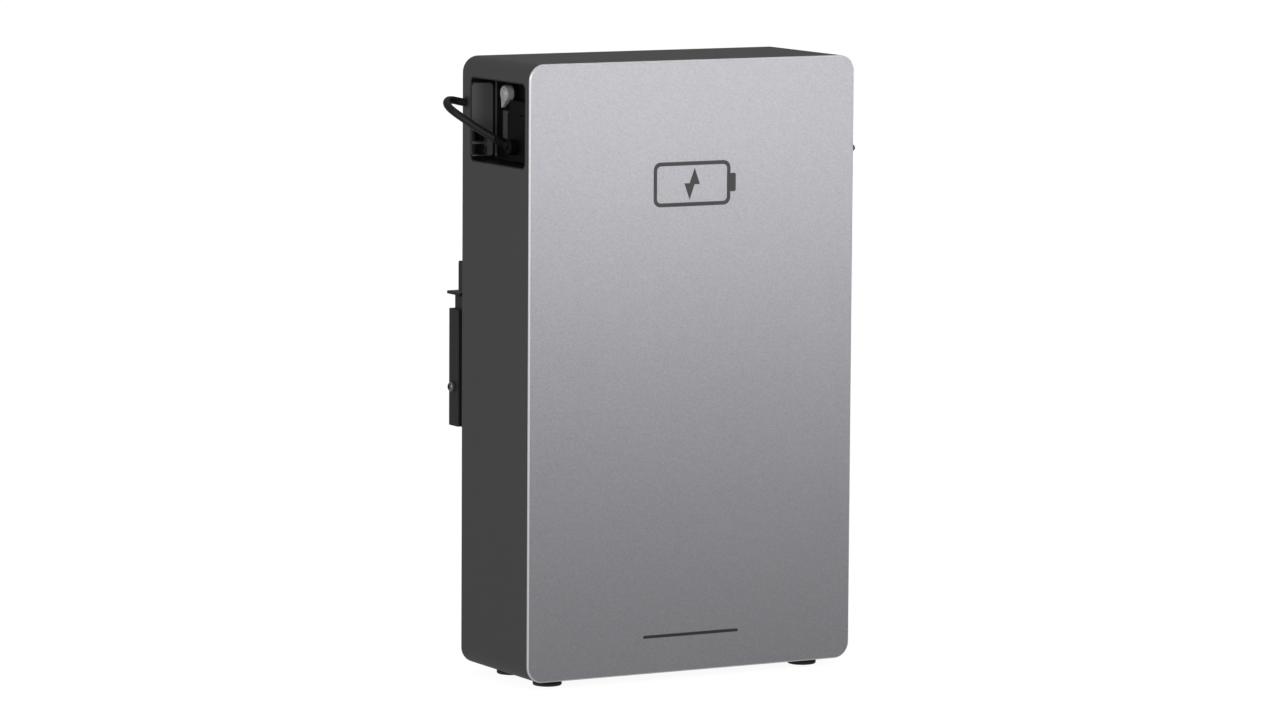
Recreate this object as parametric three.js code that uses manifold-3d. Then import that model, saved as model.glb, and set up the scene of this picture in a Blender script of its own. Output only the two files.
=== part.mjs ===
// Wall battery unit: a sheet-steel case with a silver front panel, a connection bay in each side,
// four low rubber feet, a hook-on wall bracket, and the cell pack and electronics inside.
// Millimetres. +Z is up, the front panel faces -Y, and the wall is at +Y.
// The origin is on the floor, under the middle of the unit and its bracket.

import * as THREE from "three";
import { mergeVertices } from "three/addons/utils/BufferGeometryUtils.js";
import Module from "manifold-3d";

const wasm = await Module();
wasm.setup();

// ---------------------------------------------------------------- driving dimensions

const CASE = { width: 380, height: 632, depth: 150, radius: 17, wall: 2 };
const WALL_GAP = 40; // from the case's back to the wall
const FOOT = { height: 8, radius: 15, sideInset: 39, frontInset: 31, rearInset: 39 };
const PANEL = { thickness: 2.5, chamfer: 0.7 };
const GAP = 0.3; // between pieces that touch

// A connection bay: its mouth in the case's side, measured from the panel's face and the case's bottom.
const BAY = { front: 11.5, rear: 130.5, bottom: 526, top: 611, depth: 30, wall: 1.5, corner: 5 };

const ISOLATOR = { axisFromFront: 91.6, axisHeight: 596.3, knobRadius: 8.8, pointer: 18, shaftRadius: 2.5 };
const ISOLATOR_BLOCK = {
  front: 13, rear: 89, bottom: 527.5, top: 590,
  face: 21, bossFace: 26.2, bossRadius: 10.5,
};
const TERMINAL_COVER = { front: 91, rear: 102, bottom: 545, top: 584, face: 26.4 };
const DATA_SOCKET = {
  outer: 1.5, inner: 12.5, depth: 5, halfHeight: 5.5, rim: 2,
  heights: { upper: 551, lower: 537 },
};
const BUTTON = { fromFront: 104, height: 586, radius: 7, travel: 2.5 };
const STATUS_LENS = { fromFront: 104, height: 562 };
const EARTH_STUD = { fromFront: 116, height: 541 };
const LINK_SOCKET = { fromFront: 36, height: 548 };

// A link lead: its grommet on the side's rear margin, its diameter, and its plug's cap and sleeve.
const LEAD = { diameter: 8, exitFromFront: 139.5, exitHeight: 585, grommetRadius: 6.3, grommetProud: 1.2 };
const PLUG = { capRadius: 8, capLength: 10, sleeveRadius: 5.4, sleeveReach: 17 };

// The wall bracket and the hanger that is fixed to the case's back, both of folded steel.
const BRACKET = {
  sideInset: 5, shelfInset: 3, relief: 8, sheet: 3,
  bottom: 245, flangeTop: 367, shelfTop: 385.5, flangeReach: 24,
};
const HANGER = {
  sideInset: 1.5, sheet: 2.8, top: 419.5, wingBottom: 387, standoff: 10,
  earInset: 8.4, earReach: 31, earTop: 381, heelReach: 36.5, heelTop: 362, hook: [90, 150],
};
const LOCK_BOLT = { fromCaseBack: 29.5, height: 285.7, headRadius: 5.3, headLength: 4.4, shankRadius: 2.5 };

const CELL = { width: 160, height: 118, thickness: 49.6, pitch: 50.4, rows: 8 };
const PACK = { bottom: 22, columnOffset: 81, frontInset: 18 };

// ---------------------------------------------------------------- places in the part's frame

const FRONT = -(CASE.depth + WALL_GAP) / 2;
const BACK = FRONT + CASE.depth;
const WALL = BACK + WALL_GAP;
const SIDE = CASE.width / 2;
const BASE = FOOT.height;
const LEFT = -1;
const RIGHT = 1;

const group = new THREE.Group();

// ---------------------------------------------------------------- materials

const paint = (color, roughness, metalness = 0) =>
  new THREE.MeshStandardMaterial({ color, roughness, metalness });

const MATERIALS = {
  powderCoat: () => paint(0x464646, 0.6),
  silverPanel: () => paint(0xb4b4b8, 0.4, 0.85),
  blackPlastic: () => paint(0x171717, 0.5),
  greyPlastic: () => paint(0x2f2f2d, 0.55),
  rubber: () => paint(0x161616, 0.85),
  blackSteel: () => paint(0x262626, 0.55, 0.2),
  zinc: () => paint(0xa8abb0, 0.35, 0.9),
  brightMetal: () => paint(0xc4c4c6, 0.25, 1),
  cellSkin: () => paint(0x2a5d8c, 0.45),
  copper: () => paint(0xb87333, 0.3, 1),
  board: () => paint(0x1d5a34, 0.5),
  lens: () => paint(0x9fd6b0, 0.15),
};

function place(name, geometry, material) {
  const mesh = new THREE.Mesh(geometry, material);
  mesh.name = name;
  group.add(mesh);
}

// ---------------------------------------------------------------- solids

function solid(geometry) {
  const bare = geometry.clone();
  bare.deleteAttribute("normal");
  bare.deleteAttribute("uv");
  const merged = mergeVertices(bare, 1e-4);
  return new wasm.Manifold(
    new wasm.Mesh({
      numProp: 3,
      vertProperties: merged.attributes.position.array,
      triVerts: new Uint32Array(merged.index.array),
    }),
  );
}

function geometryOf(body) {
  const mesh = body.getMesh();
  const indexed = new THREE.BufferGeometry();
  indexed.setAttribute("position", new THREE.BufferAttribute(mesh.vertProperties, 3));
  indexed.setIndex(new THREE.BufferAttribute(mesh.triVerts, 1));
  const faceted = indexed.toNonIndexed();
  faceted.computeVertexNormals();
  return faceted;
}

const join = (...geometries) =>
  geometryOf(geometries.map(solid).reduce((whole, piece) => whole.add(piece)));

const cut = (geometry, ...tools) =>
  geometryOf(tools.map(solid).reduce((whole, tool) => whole.subtract(tool), solid(geometry)));

// Turns a geometry made along +Z so that its axis lies along +X: its own x and y become y and z.
const Z_TO_X = new THREE.Matrix4().set(0, 0, 1, 0, 1, 0, 0, 0, 0, 1, 0, 0, 0, 0, 0, 1);

function box(x0, x1, y0, y1, z0, z1) {
  const made = new THREE.BoxGeometry(x1 - x0, y1 - y0, z1 - z0);
  return made.translate((x0 + x1) / 2, (y0 + y1) / 2, (z0 + z1) / 2);
}

// A rectangle with round corners, as an outline of points.
function roundedOutline(u0, u1, v0, v1, radius, steps = 6) {
  const shape = new THREE.Shape();
  shape.absarc(u1 - radius, v0 + radius, radius, -Math.PI / 2, 0);
  shape.absarc(u1 - radius, v1 - radius, radius, 0, Math.PI / 2);
  shape.absarc(u0 + radius, v1 - radius, radius, Math.PI / 2, Math.PI);
  shape.absarc(u0 + radius, v0 + radius, radius, Math.PI, (3 * Math.PI) / 2);
  return new THREE.Shape(shape.getPoints(steps));
}

// A prism along X over an outline in y and z.
function prismAlongX(outline, x0, x1) {
  const settings = { depth: x1 - x0, bevelEnabled: false, curveSegments: 12 };
  const made = new THREE.ExtrudeGeometry(outline, settings);
  return made.applyMatrix4(Z_TO_X).translate(x0, 0, 0);
}

// A block along X whose end at x1 has a small chamfer all round.
function chamferedBlockX(x0, x1, y0, y1, z0, z1, radius, chamfer) {
  const depth = Math.abs(x1 - x0);
  const rings = [
    [0, 0],
    [depth - chamfer, 0],
    [depth, chamfer],
  ].map(([at, inset]) =>
    roundedOutline(y0 + inset, y1 - inset, z0 + inset, z1 - inset, radius - inset, 4)
      .getPoints()
      .map((p) => new THREE.Vector3(x0 + Math.sign(x1 - x0) * at, p.x, p.y)),
  );
  return loft(x1 > x0 ? rings : rings.map((ring) => ring.reverse()));
}

// A closed solid through rings of equal count, each ring convex and counter-clockwise seen from the last.
function loft(rings) {
  const count = rings[0].length;
  const centreOf = (ring) =>
    ring.reduce((sum, p) => sum.add(p), new THREE.Vector3()).multiplyScalar(1 / ring.length);
  const points = [...rings.flat(), centreOf(rings[0]), centreOf(rings.at(-1))];
  const index = [];
  const first = points.length - 2;
  for (let i = 0; i < count; i++) {
    const next = (i + 1) % count;
    rings.slice(1).forEach((_, r) => {
      const [a, b] = [r * count + i, r * count + next];
      index.push(a, b, b + count, a, b + count, a + count);
    });
    const top = (rings.length - 1) * count;
    index.push(first, next, i, first + 1, top + i, top + next);
  }
  const made = new THREE.BufferGeometry().setFromPoints(points);
  made.setIndex(index);
  return made;
}

// The case's rounded outline, inset and lofted along Y through [y, inset] stations.
function casePrism(stations, steps = 8) {
  return loft(
    stations.map(([y, inset]) => {
      const outline = roundedOutline(
        -SIDE + inset, SIDE - inset, BASE + inset, BASE + CASE.height - inset, CASE.radius - inset, steps,
      );
      return outline.getPoints().reverse().map((p) => new THREE.Vector3(p.x, y, p.y));
    }),
  );
}

function cylinderX(radius, x0, x1, y, z, segments = 32) {
  const made = new THREE.CylinderGeometry(radius, radius, Math.abs(x1 - x0), segments);
  return made.rotateZ(-Math.PI / 2).translate((x0 + x1) / 2, y, z);
}

function cylinderZ(radius, z0, z1, x, y, segments = 32) {
  const made = new THREE.CylinderGeometry(radius, radius, z1 - z0, segments);
  return made.rotateX(Math.PI / 2).translate(x, y, (z0 + z1) / 2);
}

// A turned solid, from a profile of [radius, height] pairs that starts and ends on its axis.
const lathe = (profile, segments) =>
  new THREE.LatheGeometry(profile.map(([r, h]) => new THREE.Vector2(r, h)), segments);

// A turned piece on an axis along Z.
const turnedZ = (profile, x, y, z, segments = 32) =>
  lathe(profile, segments).rotateX(Math.PI / 2).translate(x, y, z);

// The same on an axis that points outwards from one side of the case.
function turnedOut(side, profile, fromFront, height, depthIn, segments = 32) {
  const made = lathe(profile, segments).rotateZ((-side * Math.PI) / 2);
  return made.translate(side * (SIDE - depthIn), FRONT + fromFront, BASE + height);
}

// ---------------------------------------------------------------- case, panel and feet

const bayMouth = { y0: FRONT + BAY.front, y1: FRONT + BAY.rear, z0: BASE + BAY.bottom, z1: BASE + BAY.top };

function bayOutline(grow) {
  const { y0, y1, z0, z1 } = bayMouth;
  return roundedOutline(y0 - grow, y1 + grow, z0 - grow, z1 + grow, BAY.corner + grow);
}

const footPlaces = [
  ["front_left", LEFT, FRONT + FOOT.frontInset],
  ["front_right", RIGHT, FRONT + FOOT.frontInset],
  ["rear_left", LEFT, BACK - FOOT.rearInset],
  ["rear_right", RIGHT, BACK - FOOT.rearInset],
].map(([name, side, y]) => ({ name, x: side * (SIDE - FOOT.sideInset), y }));

const VENT = { fromFront: 74, radius: 9, neck: 5 };

function rearCase() {
  const lip = FRONT + PANEL.thickness + GAP;
  const outer = casePrism([[lip, 0], [BACK - 2, 0], [BACK - 0.6, 0.6], [BACK, 2]]);
  const inner = casePrism([[lip - 1, CASE.wall], [BACK - CASE.wall, CASE.wall]]);
  const reach = CASE.wall + 4;
  const mouths = [LEFT, RIGHT].map((side) =>
    prismAlongX(bayOutline(BAY.wall + GAP), side * SIDE - reach, side * SIDE + reach),
  );
  const exit = [FRONT + LEAD.exitFromFront, BASE + LEAD.exitHeight];
  const leadHoles = [LEFT, RIGHT].map((side) =>
    cylinderX(4.6, side * SIDE - reach, side * SIDE + reach, ...exit),
  );
  const screwHoles = footPlaces.map(({ x, y }) => cylinderZ(3, BASE - 1, BASE + 4, x, y, 20));
  const ventHole = cylinderZ(VENT.neck + GAP, BASE - 1, BASE + 4, 0, FRONT + VENT.fromFront);
  return cut(outer, inner, ...mouths, ...leadHoles, ...screwHoles, ventHole);
}

function frontPanel() {
  return casePrism([
    [FRONT, PANEL.chamfer],
    [FRONT + PANEL.chamfer, 0],
    [FRONT + PANEL.thickness, 0],
  ]);
}

function panelGasket() {
  const y0 = FRONT + PANEL.thickness + GAP;
  const inset = CASE.wall + GAP;
  return cut(
    casePrism([[y0, inset], [y0 + 4, inset]]),
    casePrism([[y0 - 1, inset + 5], [y0 + 5, inset + 5]]),
  );
}

function foot(x, y) {
  const body = turnedZ([[0, 0], [14, 0], [FOOT.radius, 1.2], [FOOT.radius, 7.7], [0, 7.7]], x, y, 0, 40);
  return cut(body, cylinderZ(5.6, -1, 4, x, y, 24), cylinderZ(2.9, 3, 9, x, y, 20));
}

function footScrew(x, y) {
  return join(cylinderZ(4.6, 0.9, 3.7, x, y, 24), cylinderZ(2.4, 3, 13.5, x, y, 20));
}

function ventValve() {
  const { radius: r, neck } = VENT;
  const profile = [[0, -3.2], [r - 1.5, -3.2], [r, -2], [r, -GAP], [neck, -GAP], [neck, 4], [0, 4]];
  return turnedZ(profile, 0, FRONT + VENT.fromFront, BASE);
}

place("rear_case", rearCase(), MATERIALS.powderCoat());
place("front_panel", frontPanel(), MATERIALS.silverPanel());
place("panel_gasket", panelGasket(), MATERIALS.rubber());
for (const { name, x, y } of footPlaces) {
  place("foot_" + name, foot(x, y), MATERIALS.rubber());
  place("foot_screw_" + name, footScrew(x, y), MATERIALS.zinc());
}
place("vent_valve", ventValve(), MATERIALS.blackPlastic());

// ---------------------------------------------------------------- connection bays

// The x of a point at some depth behind the case's side, on the left or the right.
const inFrom = (side, depth) => side * (SIDE - depth);

function bayTray(side) {
  const [rim, floor, back] = [0.2, BAY.depth, BAY.depth + BAY.wall].map((depth) => inFrom(side, depth));
  const outer = prismAlongX(bayOutline(BAY.wall), Math.min(rim, back), Math.max(rim, back));
  const mouth = inFrom(side, -2);
  const inner = prismAlongX(bayOutline(0), Math.min(mouth, floor), Math.max(mouth, floor));
  return cut(outer, inner);
}

const floorOf = (side) => inFrom(side, BAY.depth - GAP);

function isolatorBody() {
  const [axisY, axisZ] = [FRONT + ISOLATOR.axisFromFront, BASE + ISOLATOR.axisHeight];
  const { front, rear, bottom, top, face, bossFace, bossRadius } = ISOLATOR_BLOCK;
  const block = chamferedBlockX(
    floorOf(LEFT), inFrom(LEFT, face), FRONT + front, FRONT + rear, BASE + bottom, BASE + top, 2, 1,
  );
  const boss = cylinderX(bossRadius, floorOf(LEFT), inFrom(LEFT, bossFace), axisY, axisZ);
  const room = ISOLATOR.knobRadius + 0.8;
  const knobRoom = cylinderX(room, inFrom(LEFT, 10), inFrom(LEFT, bossFace), axisY, axisZ);
  const pointerRoom = box(
    inFrom(LEFT, 10), inFrom(LEFT, bossFace), axisY - 7, axisY + 7, axisZ - ISOLATOR.pointer - 2, axisZ,
  );
  const bore = cylinderX(ISOLATOR.shaftRadius + GAP, inFrom(LEFT, 35), inFrom(LEFT, 15), axisY, axisZ, 24);
  return cut(join(block, boss), knobRoom, pointerRoom, bore);
}

// A round knob drawn out into a pointer, which hangs down when the isolator is on.
function isolatorKnob() {
  const { knobRadius: r, pointer } = ISOLATOR;
  const [axisY, axisZ] = [FRONT + ISOLATOR.axisFromFront, BASE + ISOLATOR.axisHeight];
  const tangent = Math.asin(r / pointer);
  const shape = new THREE.Shape();
  shape.absarc(0, 0, r, -tangent, Math.PI + tangent);
  shape.lineTo(-0.8, -pointer + 0.6);
  shape.lineTo(0.8, -pointer + 0.6);
  const outline = new THREE.Shape(shape.getPoints(28));
  const body = prismAlongX(outline, inFrom(LEFT, 17.5), inFrom(LEFT, 25.9)).translate(0, axisY, axisZ);
  const cap = cylinderX(r - 1.2, inFrom(LEFT, 16.2), inFrom(LEFT, 18), axisY, axisZ);
  const bore = ISOLATOR.shaftRadius + GAP;
  const socket = cylinderX(bore, inFrom(LEFT, 20.7), inFrom(LEFT, 30), axisY, axisZ, 24);
  return cut(join(body, cap), socket);
}

function isolatorShaft() {
  return cylinderX(
    ISOLATOR.shaftRadius, inFrom(LEFT, 21), floorOf(LEFT),
    FRONT + ISOLATOR.axisFromFront, BASE + ISOLATOR.axisHeight, 24,
  );
}

function terminalCover() {
  const { front, rear, bottom, top, face } = TERMINAL_COVER;
  const [y0, y1, z0, z1] = [FRONT + front, FRONT + rear, BASE + bottom, BASE + top];
  return chamferedBlockX(floorOf(LEFT), inFrom(LEFT, face), y0, y1, z0, z1, 1.5, 0.8);
}

// A data socket on the rear wall of the left bay, its mouth facing the front.
function dataSocket(height) {
  const wall = FRONT + BAY.rear - GAP;
  const { depth, halfHeight, rim } = DATA_SOCKET;
  const [outer, inner] = [inFrom(LEFT, DATA_SOCKET.outer), inFrom(LEFT, DATA_SOCKET.inner)];
  const [z0, z1] = [BASE + height - halfHeight, BASE + height + halfHeight];
  const body = box(outer, inner, wall - depth, wall, z0, z1);
  const mouth = box(outer + rim, inner - rim, wall - depth - 1, wall - 1.5, z0 + rim, z1 - rim);
  return cut(body, mouth);
}

function buttonBezel() {
  const profile = [[0, 0], [11, 0], [11, 3.6], [9.6, 5], [0, 5]];
  const ring = turnedOut(RIGHT, profile, BUTTON.fromFront, BUTTON.height, BAY.depth - GAP);
  const bore = cylinderX(
    BUTTON.radius + 0.4, inFrom(RIGHT, BAY.depth - GAP - 0.8), inFrom(RIGHT, 10),
    FRONT + BUTTON.fromFront, BASE + BUTTON.height,
  );
  return cut(ring, bore);
}

function startButton() {
  const underside = 0.8 + GAP + BUTTON.travel;
  const r = BUTTON.radius;
  const profile = [[0, underside], [r, underside], [r, 7.4], [r - 1, 8.2], [0, 8.4]];
  return turnedOut(RIGHT, profile, BUTTON.fromFront, BUTTON.height, BAY.depth - GAP);
}

function statusLens() {
  const profile = [[0, 0], [4, 0], [4, 1.4], [2.6, 2.6], [0, 3]];
  return turnedOut(RIGHT, profile, STATUS_LENS.fromFront, STATUS_LENS.height, BAY.depth - GAP, 24);
}

function earthStud() {
  const profile = [[0, 0], [6.5, 0], [6.5, 1.4], [5, 1.4], [5, 5], [3, 5], [3, 15], [2.4, 15.8], [0, 15.8]];
  return turnedOut(RIGHT, profile, EARTH_STUD.fromFront, EARTH_STUD.height, BAY.depth - GAP, 24);
}

function linkSocket() {
  const profile = [[0, 0], [11, 0], [11, 3], [9.2, 4], [9.2, 8.7], [0, 8.7]];
  return turnedOut(RIGHT, profile, LINK_SOCKET.fromFront, LINK_SOCKET.height, BAY.depth - GAP);
}

place("left_bay_tray", bayTray(LEFT), MATERIALS.greyPlastic());
place("right_bay_tray", bayTray(RIGHT), MATERIALS.greyPlastic());
place("isolator_body", isolatorBody(), MATERIALS.blackPlastic());
place("isolator_knob", isolatorKnob(), MATERIALS.brightMetal());
place("isolator_shaft", isolatorShaft(), MATERIALS.zinc());
place("terminal_cover", terminalCover(), MATERIALS.greyPlastic());
for (const [level, height] of Object.entries(DATA_SOCKET.heights)) {
  place("data_socket_" + level, dataSocket(height), MATERIALS.blackPlastic());
}
place("button_bezel", buttonBezel(), MATERIALS.brightMetal());
place("start_button", startButton(), MATERIALS.blackPlastic());
place("status_lens", statusLens(), MATERIALS.lens());
place("earth_stud", earthStud(), MATERIALS.zinc());
place("link_socket", linkSocket(), MATERIALS.blackPlastic());

// ---------------------------------------------------------------- link leads

// A lead's own points: [outward from the side, back from the front face, up from the case's bottom].
const LEAD_ROUTES = {
  left: {
    side: LEFT,
    plug: [-15.5, 71, 543],
    points: [
      [1.5, 139.5, 585],
      [4.5, 139.5, 585],
      [10, 139.5, 586.2],
      [17, 138.2, 587.6],
      [24, 134, 587.8],
      [29.5, 126.5, 585.5],
      [31, 117.5, 581.5],
      [28, 109, 576.5],
      [21.5, 102, 570.5],
      [13.5, 96, 563.8],
      [5, 90.5, 557.6],
      [-4, 84.5, 551.5],
    ],
  },
  right: {
    side: RIGHT,
    plug: [-15.5, 36, 548],
    points: [
      [1.5, 139.5, 585],
      [4.5, 139.5, 585],
      [10, 138.8, 584.2],
      [16, 136.4, 582],
      [21, 131, 578],
      [25.5, 121, 570],
      [28.5, 110, 560],
      [30.5, 99, 550.5],
      [32, 88, 542],
      [33, 77, 534.5],
      [33.4, 66, 530.5],
      [31, 57, 530],
      [23, 49.5, 533],
      [12, 44, 538],
      [0, 40.5, 543],
    ],
  },
};

const leadPoint = (side, [out, fromFront, height]) =>
  new THREE.Vector3(side * (SIDE + out), FRONT + fromFront, BASE + height);

function plugEntry({ side, plug, points }) {
  const centre = leadPoint(side, plug);
  const direction = leadPoint(side, points.at(-1)).sub(centre).normalize();
  return { centre, direction };
}

function linkLead(route) {
  const { centre, direction } = plugEntry(route);
  const end = centre.addScaledVector(direction, PLUG.sleeveReach + GAP);
  const points = route.points.map((point) => leadPoint(route.side, point));
  const curve = new THREE.CatmullRomCurve3([...points, end], false, "centripetal");
  const section = new THREE.Shape(
    new THREE.EllipseCurve(0, 0, LEAD.diameter / 2, LEAD.diameter / 2).getPoints(10),
  );
  return new THREE.ExtrudeGeometry(section, { steps: 44, extrudePath: curve });
}

function leadPlug(route) {
  const { centre, direction } = plugEntry(route);
  const { x, y, z } = centre;
  const cap = cylinderX(PLUG.capRadius, x - PLUG.capLength / 2, x + PLUG.capLength / 2, y, z);
  const length = PLUG.sleeveReach - 2;
  const sleeve = new THREE.CylinderGeometry(LEAD.diameter / 2 + 0.6, PLUG.sleeveRadius, length, 24);
  sleeve.applyQuaternion(new THREE.Quaternion().setFromUnitVectors(new THREE.Vector3(0, 1, 0), direction));
  const middle = centre.clone().addScaledVector(direction, PLUG.sleeveReach - length / 2);
  return join(cap, sleeve.translate(middle.x, middle.y, middle.z));
}

function grommet(side) {
  const { grommetRadius: r, grommetProud: proud } = LEAD;
  const neck = 4.3;
  const profile = [[0, -3], [neck, -3], [neck, GAP], [r, GAP], [r, proud - 0.3], [r - 0.8, proud], [0, proud]];
  return turnedOut(side, profile, LEAD.exitFromFront, LEAD.exitHeight, 0);
}

for (const [name, route] of Object.entries(LEAD_ROUTES)) {
  place(name + "_lead", linkLead(route), MATERIALS.rubber());
  place(name + "_lead_plug", leadPlug(route), MATERIALS.blackPlastic());
  place(name + "_grommet", grommet(route.side), MATERIALS.rubber());
}

// ---------------------------------------------------------------- wall bracket and hanger

const boltRow = { y: BACK + LOCK_BOLT.fromCaseBack, z: BASE + LOCK_BOLT.height };

const boltHole = (side) =>
  cylinderX(LOCK_BOLT.shankRadius + 0.4, inFrom(side, 0), inFrom(side, 14), boltRow.y, boltRow.z, 20);

// Two places on the X axis in rising order.
const spanX = (a, b) => [Math.min(a, b), Math.max(a, b)];

function wallBracket() {
  const { sideInset, shelfInset, relief, sheet, bottom, flangeTop, shelfTop, flangeReach } = BRACKET;
  const [outer, shelfOuter] = [SIDE - sideInset, SIDE - shelfInset];
  const neckOuter = outer - relief;
  const [z0, z1, flangeZ] = [bottom, shelfTop, flangeTop].map((height) => BASE + height);
  const plate = box(-outer, outer, WALL - sheet, WALL, z0, flangeZ);
  const neck = box(-neckOuter, neckOuter, WALL - sheet, WALL, z0, z1);
  const shelf = box(-shelfOuter, shelfOuter, BACK + HANGER.standoff + 1, WALL, z1 - sheet, z1);
  const flanges = [LEFT, RIGHT].map((side) =>
    box(...spanX(side * outer, side * (outer - sheet)), WALL - flangeReach, WALL, z0, flangeZ),
  );
  const slot = { halfWidth: 5, halfHeight: 9, radius: 4.9 };
  const slotOutline = () =>
    roundedOutline(-slot.halfWidth, slot.halfWidth, -slot.halfHeight, slot.halfHeight, slot.radius);
  const fixings = [-130, 130].flatMap((x) =>
    [z0 + 30, z1 - 35].map((z) =>
      prismAlongX(slotOutline(), -5, 5).rotateZ(Math.PI / 2).translate(x, WALL - sheet / 2, z),
    ),
  );
  return cut(join(plate, neck, shelf, ...flanges), ...fixings, boltHole(LEFT), boltHole(RIGHT));
}

// A shallow pan on the case's back, as wide as the case above the bracket's shelf and narrower below,
// where its two ears reach back inside the bracket's flanges.
function rearHanger() {
  const { sideInset, sheet, top, wingBottom, standoff, earInset, hook } = HANGER;
  const [outer, inner] = [SIDE - sideInset, SIDE - earInset];
  const web = BACK + standoff;
  const [z0, zWing, z1] = [BRACKET.bottom, wingBottom, top].map((height) => BASE + height);
  const hookFoot = BASE + BRACKET.shelfTop + GAP;
  const sides = [LEFT, RIGHT].flatMap((side) => {
    const ear = spanX(side * inner, side * (inner - 3));
    return [
      box(...spanX(side * outer, side * (outer - sheet)), BACK + GAP, web, zWing, z1),
      box(...ear, BACK + GAP, BACK + HANGER.heelReach, z0, BASE + HANGER.heelTop),
      box(...ear, BACK + GAP, BACK + HANGER.earReach, z0, BASE + HANGER.earTop),
      box(...ear, BACK + GAP, web, z0, zWing + 1),
      box(...spanX(side * hook[0], side * hook[1]), web - 1, BACK + 26, hookFoot, hookFoot + 3),
    ];
  });
  const wing = box(-outer, outer, web - sheet, web, zWing, z1);
  const plate = box(-inner, inner, web - sheet, web, z0, zWing + 1);
  return cut(join(wing, plate, ...sides), boltHole(LEFT), boltHole(RIGHT));
}

// A socket-head bolt, its head against the bracket's flange.
function lockBolt(side) {
  const { headRadius, headLength, shankRadius } = LOCK_BOLT;
  const seat = BRACKET.sideInset - GAP;
  const { y, z } = boltRow;
  const head = cylinderX(headRadius, inFrom(side, seat - headLength), inFrom(side, seat), y, z);
  const shank = cylinderX(shankRadius, inFrom(side, seat - 1), inFrom(side, 15), y, z, 20);
  const socket = cylinderX(2.6, inFrom(side, seat - headLength - 1), inFrom(side, seat - 2), y, z, 6);
  return cut(join(head, shank), socket);
}

place("wall_bracket", wallBracket(), MATERIALS.blackSteel());
place("rear_hanger", rearHanger(), MATERIALS.blackSteel());
place("lock_bolt_left", lockBolt(LEFT), MATERIALS.zinc());
place("lock_bolt_right", lockBolt(RIGHT), MATERIALS.zinc());

// ---------------------------------------------------------------- cell pack and electronics

const packFront = FRONT + PACK.frontInset;
const packBack = packFront + CELL.height;
const packTop = PACK.bottom + CELL.rows * CELL.pitch;

// A flat cell whose two terminals face the front.
function cell(column, row) {
  const x = column * PACK.columnOffset;
  const z = PACK.bottom + (row + 0.5) * CELL.pitch;
  const half = [CELL.width / 2, CELL.thickness / 2];
  const body = box(x - half[0], x + half[0], packFront, packBack, z - half[1], z + half[1]);
  const terminals = [-55, 55].map((offset) => {
    const [x0, x1] = [x + offset - 9, x + offset + 9];
    return box(x0, x1, packFront - 2.5, packFront + 1, z - 9, z + 9);
  });
  return join(body, ...terminals);
}

function contactBoard(column) {
  const x = column * PACK.columnOffset;
  const plate = box(x - 78, x + 78, packFront - 6, packFront - 2.8, PACK.bottom + 4, packTop - 4);
  const windows = Array.from({ length: CELL.rows - 1 }, (_, row) => {
    const z = PACK.bottom + (row + 1) * CELL.pitch;
    return box(x - 30, x + 30, packFront - 8, packFront, z - 14, z + 14);
  });
  return cut(plate, ...windows);
}

const PACK_PLATE = 6;
const packPlate = (z) => box(-164, 164, packFront, packBack, z, z + PACK_PLATE);

for (let row = 0; row < CELL.rows; row++) {
  for (const [name, column] of [["left", LEFT], ["right", RIGHT]]) {
    place(`cell_${name}_${row + 1}`, cell(column, row), MATERIALS.cellSkin());
  }
}
place("contact_board_left", contactBoard(LEFT), MATERIALS.copper());
place("contact_board_right", contactBoard(RIGHT), MATERIALS.copper());
place("pack_plate_bottom", packPlate(PACK.bottom - PACK_PLATE - GAP), MATERIALS.zinc());
place("pack_plate_top", packPlate(packTop + GAP), MATERIALS.zinc());

const electronicsBottom = packTop + PACK_PLATE + 6;
const electronicsPlane = packFront + 60;

function managementPlate() {
  const [y, z] = [electronicsPlane, electronicsBottom];
  return join(box(-150, 150, y, y + 2, z, z + 92), box(-150, 150, y, y + 22, z, z + 2));
}

function managementBoard() {
  const face = electronicsPlane - 4;
  const board = box(-140, 20, face - 1.6, face, electronicsBottom + 8, electronicsBottom + 86);
  const chips = [
    [-120, 20, 22, 16],
    [-80, 24, 14, 14],
    [-40, 48, 30, 10],
    [-120, 56, 18, 12],
    [-4, 20, 12, 12],
  ].map(([x, z, size, height]) =>
    box(x - 8, x - 8 + size, face - height, face - 1, electronicsBottom + z, electronicsBottom + z + size),
  );
  return join(board, ...chips);
}

function contactor() {
  const [y, z] = [electronicsPlane, electronicsBottom];
  const body = box(36, 80, y - 40, y - GAP, z + 12, z + 74);
  const studs = [44, 64].map((x) => box(x, x + 8, y - 30, y - 18, z + 70, z + 82));
  return join(body, ...studs);
}

function mainFuse() {
  const [y, z] = [electronicsPlane - 20, electronicsBottom + 44];
  return join(
    cylinderX(13, 96, 136, y, z),
    box(88, 97, y - 2, y + 2, z - 9, z + 9),
    box(135, 144, y - 2, y + 2, z - 9, z + 9),
  );
}

place("management_plate", managementPlate(), MATERIALS.zinc());
place("management_board", managementBoard(), MATERIALS.board());
place("contactor", contactor(), MATERIALS.blackPlastic());
place("main_fuse", mainFuse(), MATERIALS.greyPlastic());

export default group;
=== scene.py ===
"""The looks of a wall battery unit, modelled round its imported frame.

The frame's axes are +Z up, the panel facing -Y and the wall at +Y, in metres. In the classes of the unit's
own parts, a size written with MM is in metres and a plain one is in millimetres. The studio is in metres.
"""

import logging
import math
from dataclasses import dataclass
from enum import Enum
from itertools import pairwise, product
from typing import Callable, Sequence

import bmesh
import bpy
from mathutils import Matrix, Vector


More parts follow.
